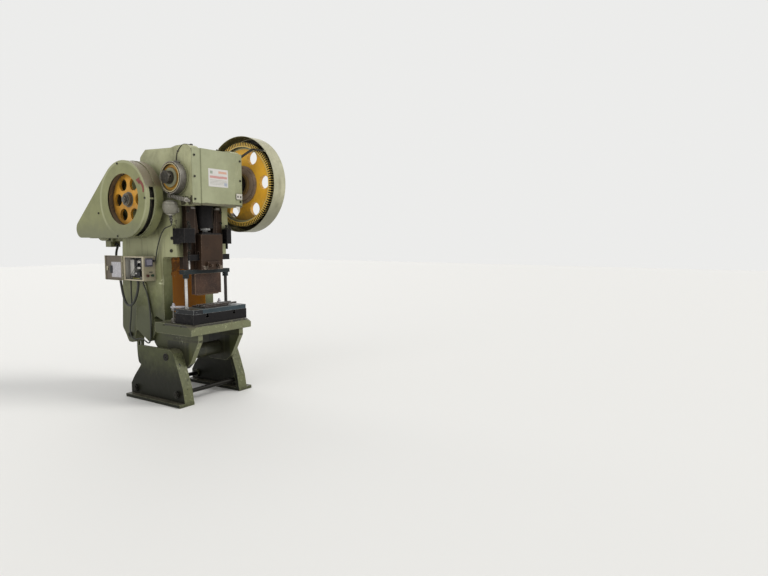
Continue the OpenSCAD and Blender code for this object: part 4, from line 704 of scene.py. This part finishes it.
# Plain faces that would carry print
printed = dict(marks=(4, 4, 4), grimeAndShade=0.3, bump=0.1, wear=0.2)
metalLooks = {
    "blackIron": dict(
        base="151314", second="0f0e0f", bright="45423f", greaseAndShade="060606", rough=0.46, gloss=0.12, bump=0.4,
        wear=0.7),
    "oiledSteel": dict(
        base="6f6c64", second="4c4941", bright="a19d94", greaseAndShade="1f1c17", rough=0.38, metallic=0.5),
    "crankSteel": dict(
        base="3d3931", second="2b2822", bright="827c70", greaseAndShade="15130f", rough=0.4, metallic=0.4),
    "brakeSteel": dict(
        base="767168", second="524e47", bright="b5b0a4", greaseAndShade="26231d", rough=0.5, metallic=0.3, wear=0.8),
    "brakeLining": dict(
        base="5b4a36", second="46392b", bright="7d6a50", greaseAndShade="211a12", rough=0.8, bump=0.6),
    "boltSteel": dict(
        base="191815", second="161511", bright="55534b", greaseAndShade="15140f", rough=0.42, metallic=0.4,
        gloss=0.15, wear=0.8),
    "bronze": dict(
        base="8d7142", second="6d5530", bright="c9a868", greaseAndShade="2a2015", rough=0.38, metallic=0.7),
    "rustyIron": dict(
        base="432f24", second="2d201a", bright="786250", greaseAndShade="120e0b", rough=0.6, gloss=0.2, bump=0.7,
        marks=(8, 8, 8), wear=0.8, edge=0.008),
    "brightSteel": dict(
        base="cfcecb", second="adaba5", bright="e9e8e5", greaseAndShade="2b2822", rough=0.28, metallic=0.4,
        marks=(4, 4, 50), grimeAndShade=0.9, sideReflection="26231f", zones=[
            # Painted dark reflection on the right pillar, which mirrors nothing bright
            (boxZone((100, -60, 880), (300, 60, 1300)), "2f2b27", 0.01),
        ]),
    "strapSteel": dict(
        base="c4c1c6", second="a5a2a5", bright="e9e7ea", greaseAndShade="34302c", rough=0.4, metallic=0.15, zones=[
            (lowZone(0.93, 0.03), "6b675f", 0.03),
        ]),
    "bowlMetal": dict(
        base="7a776a", second="5c594e", bright="c2bfb2", greaseAndShade="26241d", rough=0.38, metallic=0.25, zones=[
            (lowZone(1.842, 0.001), "c9c5b8", 0),
            (lowZone(1.832, 0.001), "2b2922", 0),
        ]),
    "blackRubber": dict(base="1e1f1b", second="2b2d26", bright="45473e", greaseAndShade="0c0c0a", rough=0.55),
    "darkPlastic": dict(
        base="1b1b1d", second="242426", bright="4a4a4c", greaseAndShade="0c0c0c", rough=0.38, gloss=0.3, zones=[
            (boxZone((-400, 606, 1225), (-300, 690, 1425)), "b9b7b0", 0),
        ]),
    "greenPlastic": dict(base="1d2f24", second="16251b", bright="3f6a50", greaseAndShade="0c120e", rough=0.35),
    "redPlastic": dict(base="3f1b16", second="2d1410", bright="7d3a30", greaseAndShade="140a08", rough=0.35),
    "whitePlate": dict(
        printed, base="c9c6c2", second="b5b1a9", bright="dcdad5", greaseAndShade="6b6759", rough=0.45, grimeAndShade=0.4),
    "cardWhite": dict(printed, base="b3b0b3", second="a6a3a6", bright="c4c1c4", greaseAndShade="77736c", rough=0.6),
    "dialLilac": dict(
        printed, base="9d99a8", second="8e8a99", bright="a5a1ae", greaseAndShade="4c4a55", rough=0.2, bump=0.05,
        wear=0.1),
    "arrowMaroon": dict(
        base="6a2a25", second="5b231f", bright="7d3a32", greaseAndShade="3a221c", rough=0.5, grimeAndShade=0.4,
        marks=(6, 6, 6), bump=0.1, wear=0.5),
    "stayDark": dict(
        base="2b271f", second="1e1b16", bright="6b6455", greaseAndShade="12100c", rough=0.5, gloss=0.3, wear=0.7,
        edge=0.003, bump=0.5),
    "wireYellow": dict(base="b9b33a", second="9c972f", bright="d3cd58", greaseAndShade="4c4a1c", rough=0.45),
}
materials.update({name: metal(name, look) for name, look in metalLooks.items()})

finishOf = {
    "legGreen": "left_leg right_leg tilt_quadrants",
    "castGreen": "frame_casting",
    "motorGreen": "motor_plate motor terminal_box",
    "sheetGreen": "front_cover",
    "guardGreen": "flywheel_guard guard_back",
    "ringGreen": "gear_guard",
    "gearYellow": "bull_gear",
    "flywheelYellow": "flywheel",
    "brakeGreen": "brake_drum",
    "slideBrown": "gibs ram tool_clamp",
    "clutchBrown": "clutch_cover",
    "blackIron": "bolster knockout_brackets knockout_bar connecting_rod rod_cap clutch_ring ball_cap",
    "oiledSteel": "back_shaft pinion motor_pulley",
    "crankSteel": "crankshaft",
    "brakeSteel": "brake_band brake_bolt brake_spring",
    "brakeLining": "brake_lining",
    "boltSteel": "pivot_shaft tie_bars tilt_lock_bolts knockout_screws frame_screws rod_bolts",
    "bronze": "crank_bushes shaft_bushes ball_seat",
    "dieBlue": "die_base",
    "plateDark": "upper_plate",
    "rustyIron": "punch_block",
    "boxCream": "control_box",
    "doorCream": "box_door",
    "meterGrey": "panel_meter",
    "bowlMetal": "air_bowl",
    "blackRubber": "v_belts",
    "brightSteel": "guide_pillars adjusting_screw",
    "strapSteel": "die_clamps",
    "darkPlastic": "contactors cable_glands",
    "greenPlastic": "start_button",
    "redPlastic": "stop_button",
}


def dress(thing, finish):
    thing.data.materials.clear()
    thing.data.materials.append(materials[finish])


for finish, names in finishOf.items():
    for nodeName in names.split():
        dress(nodes[nodeName], finish)
for cord in cords.values():
    dress(cord, "blackRubber")
print("finishes laid on", sum(len(names.split()) for names in finishOf.values()), "nodes")


# The scene's own small pieces, each on the solid that carries it
def newPiece(name, shape, body, finish):
    mesh = bpy.data.meshes.new(name)
    shape.normal_update()
    shape.to_mesh(mesh)
    shape.free()
    piece = addObject(name, mesh)
    dress(piece, finish)
    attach(piece, body)


# Pulls faces out into a solid, and gives back its new edges
def pullOut(shape, faces, way):
    grown = bmesh.ops.extrude_face_region(shape, geom=faces)["geom"]
    top = [part for part in grown if isinstance(part, bmesh.types.BMVert)]
    bmesh.ops.translate(shape, verts=top, vec=way)
    return [part for part in grown if isinstance(part, bmesh.types.BMEdge)]


# A flat outline made into a plate with a rounded front edge
def addSlab(shape, outline, out, thick, edge):
    out = Vector(out).normalized()
    face = shape.faces.new([shape.verts.new(point) for point in outline])
    face.normal_update()
    if face.normal.dot(out) < 0:
        face.normal_flip()
    rim = pullOut(shape, [face], out * thick)
    face.normal_flip()
    bmesh.ops.bevel(shape, geom=rim, offset=edge, segments=2, profile=0.6, affect="EDGES")


# A rectangle with round corners about a middle point
def roundedOutline(middle, across, up, width, height, corner, steps=4):
    points = []
    for turn, (sx, sy) in enumerate([(1, 1), (-1, 1), (-1, -1), (1, -1)]):
        centre = middle + across * sx * (width / 2 - corner) + up * sy * (height / 2 - corner)
        for step in range(steps + 1):
            angle = math.pi / 2 * (turn + step / steps)
            points.append(centre + (across * math.cos(angle) + up * math.sin(angle)) * corner)
    return points


# A low round head, such as a rivet's, standing on a face
def addDome(shape, foot, out, radius, height, rings=3, sides=14):
    across = out.orthogonal().normalized()
    up = out.cross(across)
    turns = [2 * math.pi * side / sides for side in range(sides)]
    loops = []
    for ring in range(rings):
        angle = math.pi / 2 * ring / rings
        level = foot + out * height * math.sin(angle)
        reach = radius * math.cos(angle)
        loops.append([shape.verts.new(level + (across * math.cos(turn) + up * math.sin(turn)) * reach)
                      for turn in turns])
    for low, high in zip(loops, loops[1:]):
        for side in range(sides):
            after = (side + 1) % sides
            shape.faces.new([low[side], low[after], high[after], high[side]])
    tip = shape.verts.new(foot + out * height)
    for side in range(sides):
        shape.faces.new([loops[-1][side], loops[-1][(side + 1) % sides], tip])
    shape.faces.new(list(reversed(loops[0])))


# Plates, in millimetres: "inset" is from the plate's edges to its rivets
plateBase = dict(
    across=(1, 0, 0), out=(0, -1, 0), rivet=0, inset=6, body="frame", edgeShare=0.4, domeShare=0.5)
plateLooks = {
    "namePlate": dict(
        middle=(-6.5, -221, 2200), width=245, height=172, thick=1.5, corner=6, rivet=3.2, inset=8,
        finish="namePlate"),
    "coverTag": dict(
        middle=(262, -221, 2037), width=78, height=55, thick=1.5, corner=4, rivet=2.6,
        finish="tagWhite"),
    "strokeScale": dict(
        middle=(-216, -16, 1371), width=17, height=116, thick=2.0, corner=2, rivet=2.4, inset=7,
        finish="whitePlate"),
    "doorCard": dict(
        middle=(-447, 826, 1298), across=(0, 1, 0), out=(-1, 0, 0), width=158, height=156,
        thick=1.0, corner=3, body="door", finish="cardWhite"),
    "meterFace": dict(
        middle=(-389, 365, 1380), width=62, height=56, thick=1.6, corner=14, finish="dialLilac"),
    "buttonBar": dict(
        middle=(-364, 380, 1281), width=40, height=9, thick=3.0, corner=2, finish="darkPlastic"),
}


def makePlate(name, look):
    look = plateBase | look
    out, across, up = Vector(look["out"]), Vector(look["across"]), Vector((0, 0, 1))
    middle = at(*look["middle"])
    sizes = ("width", "height", "thick", "corner", "inset", "rivet")
    width, height, thick, corner, inset, rivet = (look[size] * mm for size in sizes)
    shape = bmesh.new()
    outline = roundedOutline(middle, across, up, width, height, corner)
    addSlab(shape, outline, out, thick, thick * look["edgeShare"])
    if rivet:
        for sx, sy in ((-1, -1), (-1, 1), (1, -1), (1, 1)):
            foot = middle + across * sx * (width / 2 - inset) + up * sy * (height / 2 - inset) + out * thick
            addDome(shape, foot, out, rivet, rivet * look["domeShare"])
    newPiece(name, shape, look["body"], look["finish"])


for name, look in plateLooks.items():
    makePlate(name, look)
print("plates fixed:", ", ".join(plateLooks))


# The arrow that shows which way the wheel turns, painted thick on the guard's face
arrowLook = {
    "face": -580.2,
    # y and z of its middle line
    "line": [(150, 2044), (146, 2070), (151, 2096), (164, 2120), (184, 2138), (205, 2147)],
    "width": [20, 24, 27, 29, 30, 30],
    "head": [(203, 2116), (258, 2163), (196, 2186)],
    "thick": 0.8,
    "weld": 0.1,
}


def makeArrow(look):
    line = [Vector(point) for point in look["line"]]
    left, right = [], []
    for step, point in enumerate(line):
        along = (line[min(step + 1, len(line) - 1)] - line[max(step - 1, 0)]).normalized()
        side = Vector((-along.y, along.x)) * look["width"][step] / 2
        left.append(point + side)
        right.append(point - side)
    faces = [[left[i], left[i + 1], right[i + 1], right[i]] for i in range(len(line) - 1)] + [look["head"]]
    shape = bmesh.new()
    for face in faces:
        shape.faces.new([shape.verts.new(at(look["face"], *point)) for point in face])
    bmesh.ops.remove_doubles(shape, verts=shape.verts, dist=look["weld"] * mm)
    bmesh.ops.recalc_face_normals(shape, faces=shape.faces)
    pullOut(shape, list(shape.faces), Vector((-look["thick"] * mm, 0, 0)))
    bmesh.ops.recalc_face_normals(shape, faces=shape.faces)
    newPiece("turningArrow", shape, "frame", "arrowMaroon")


makeArrow(arrowLook)
print("turning arrow on the wheel guard")


# Flat bars along the ring guard's stays, from the cheek out to the ring, in millimetres
barLook = {
    "thick": 7, "width": 24, "edge": 1.5, "facing": (-0.75, -0.6, 0.2),
    "stays": [
        ((322, -117, 2410), (470, -214, 2540)),
        ((322, 412, 2320), (470, 314, 2575)),
        ((322, 223, 1932), (470, 133, 1708)),
    ],
}


def makeStayBar(name, look, inner, outer):
    inner, outer = at(*inner), at(*outer)
    along = (outer - inner).normalized()
    out = Vector(look["facing"])
    out = (out - along * out.dot(along)).normalized()
    side = along.cross(out) * look["width"] / 2 * mm
    shape = bmesh.new()
    addSlab(shape, [inner + side, inner - side, outer - side, outer + side], out, look["thick"] * mm,
            look["edge"] * mm)
    newPiece(name, shape, "frame", "stayDark")


for number, (inner, outer) in enumerate(barLook["stays"], start=1):
    makeStayBar("stayBar" + str(number), barLook, inner, outer)
print("stay bars:", len(barLook["stays"]))


# The bent corner under the cover: its outline in x and z, in millimetres
cornerLook = {"outline": [(214, 1936), (272, 1936), (268, 1900), (261, 1872), (250, 1888)], "face": -218,
              "thick": 1.2, "edge": 0.3}


def makeBentCorner(look):
    shape = bmesh.new()
    outline = [at(x, look["face"], z) for x, z in look["outline"]]
    addSlab(shape, outline, (0, -1, 0), look["thick"] * mm, look["edge"] * mm)
    newPiece("bentCorner", shape, "frame", "tagWhite")


makeBentCorner(cornerLook)
print("bent corner under the cover")


# Thin rigid tubes and wires, each swept along its own points, in millimetres
tubeForm = {"roundness": 3, "steps": 6}
tubeLooks = {
    "oilPipe": {"radius": 3.6, "finish": "crankSteel", "route": [
        (-315, 22, 2318), (-315, 10, 2345), (-315, 3, 2385), (-315, -8, 2422), (-315, -34, 2456),
        (-314, -66, 2482), (-304, -90, 2498), (-284, -100, 2501), (-255, -104, 2501), (-235, -105, 2501)]},
    "coilWire": {"radius": 2.2, "finish": "blackRubber", "route": [
        (-388, 578, 1330), (-402, 592, 1306), (-406, 612, 1280), (-404, 640, 1256), (-398, 664, 1236),
        (-392, 672, 1214), (-386, 664, 1206)]},
    "controlWire": {"radius": 2.0, "finish": "blackRubber", "route": [
        (-396, 470, 1330), (-410, 500, 1300), (-414, 540, 1286), (-410, 586, 1268), (-402, 622, 1240),
        (-394, 640, 1216), (-388, 632, 1206)]},
    "signalWire": {"radius": 1.9, "finish": "wireYellow", "route": [
        (-398, 520, 1214), (-402, 545, 1216), (-403, 572, 1213), (-400, 600, 1217), (-396, 622, 1212)]},
    "meterWire": {"radius": 1.9, "finish": "whitePlate", "route": [
        (-396, 448, 1392), (-406, 470, 1402), (-408, 505, 1398), (-404, 530, 1380), (-398, 540, 1360)]},
}


def makeTube(name, look):
    tube = sweep(name, look["route"], look["radius"] * mm, **tubeForm)
    dress(tube, look["finish"])
    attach(tube, "frame")


for name, look in tubeLooks.items():
    makeTube(name, look)
print("tubes and wires:", ", ".join(tubeLooks))


# Small moulded blocks with rounded edges, in millimetres
blockBase = dict(round=2, body="frame", finish="crankSteel")
blockLooks = {
    "doorLatch": dict(
        middle=(-452, 906, 1300), size=(10, 40, 76), round=4, body="door", finish="darkPlastic"),
    "upperTerminals": dict(middle=(-394, 516, 1381), size=(12, 48, 21), finish="whitePlate"),
    "lowerTerminals": dict(middle=(-394, 520, 1320), size=(12, 46, 19), finish="whitePlate"),
    "relay": dict(middle=(-374, 556, 1258), size=(42, 90, 52), round=4, finish="darkPlastic"),
    "relayLabel": dict(middle=(-396, 574, 1264), size=(3, 30, 14), round=1, finish="whitePlate"),
    "oilNipple": dict(middle=(-226, -105, 2502), size=(26, 22, 18), round=4),
    "pipeClip": dict(middle=(-314, -20, 2440), size=(7, 26, 12)),
    "pipeFoot": dict(middle=(-316, 24, 2312), size=(10, 18, 22), round=3),
}


def makeBlock(name, look):
    look = blockBase | look
    shape = bmesh.new()
    bmesh.ops.create_cube(shape, size=mm)
    bmesh.ops.scale(shape, vec=look["size"], verts=shape.verts)
    bmesh.ops.translate(shape, vec=at(*look["middle"]), verts=shape.verts)
    bmesh.ops.bevel(shape, geom=list(shape.edges), offset=look["round"] * mm, segments=3, profile=0.5,
                    affect="EDGES")
    newPiece(name, shape, look["body"], look["finish"])


for name, look in blockLooks.items():
    makeBlock(name, look)
print("blocks in the box and on the pipe:", len(blockLooks))


# Floor, sky and lamps
studioLook = {
    "floor": "dfddd8",
    "floorRough": 0.8,
    "floorHalf": 30,  # metres
    "sky": (0.95, 0.97, 1.0, 1.0),
    "skyStrength": 0.6,
    "seen": (0.84, 0.84, 0.83, 1.0),
    "lampDistance": 8,
    "suns": [
        {"name": "keySun", "from": (0.45, -0.78, 0.66), "spread": 24, "power": 1.7},
        {"name": "leftSun", "from": (-0.85, -0.2, 0.45), "spread": 55, "power": 0.75},
        {"name": "backSun", "from": (0.45, 0.85, 0.5), "spread": 60, "power": 0.8},
    ],
}


def makeFloor(look):
    mesh = bpy.data.meshes.new("floor")
    half = look["floorHalf"]
    corners = [(-half, -half, 0), (half, -half, 0), (half, half, 0), (-half, half, 0)]
    mesh.from_pydata(corners, [], [(0, 1, 2, 3)])
    floor = addObject("floor", mesh)
    material, _, shader, _ = newMaterial("paleFloor")
    shader.inputs["Base Color"].default_value = colour(look["floor"])
    shader.inputs["Roughness"].default_value = look["floorRough"]
    mesh.materials.append(material)


# The sky that lights the press is not the plain one that is seen behind it and mirrored in it
def makeSky(look):
    world = bpy.data.worlds.new("sky")
    bpy.context.scene.world = world
    world.use_nodes = True
    tree = world.node_tree
    ambient = tree.nodes["Background"]
    ambient.inputs["Color"].default_value = look["sky"]
    ambient.inputs["Strength"].default_value = look["skyStrength"]
    seen = addNode(tree, "Background", {"Color": look["seen"], "Strength": 1.0})
    path = addNode(tree, "LightPath").outputs
    shown = calc(tree, "MAXIMUM", path["Is Camera Ray"], path["Is Glossy Ray"])
    both = addNode(tree, "MixShader", {"Fac": shown, 1: ambient.outputs[0], 2: seen.outputs[0]})
    wire(tree, tree.nodes["World Output"].inputs["Surface"], both.outputs[0])


def makeSun(sun, distance):
    light = bpy.data.lights.new(sun["name"], "SUN")
    light.energy = sun["power"]
    light.angle = math.radians(sun["spread"])
    lamp = addObject(sun["name"], light)
    lamp.location = Vector(sun["from"]) * distance
    lamp.rotation_euler = Vector(sun["from"]).to_track_quat("Z", "Y").to_euler()


makeFloor(studioLook)
makeSky(studioLook)
for sun in studioLook["suns"]:
    makeSun(sun, studioLook["lampDistance"])
bpy.context.scene.view_settings.view_transform = "Standard"
print("studio lit by", len(studioLook["suns"]), "soft suns")
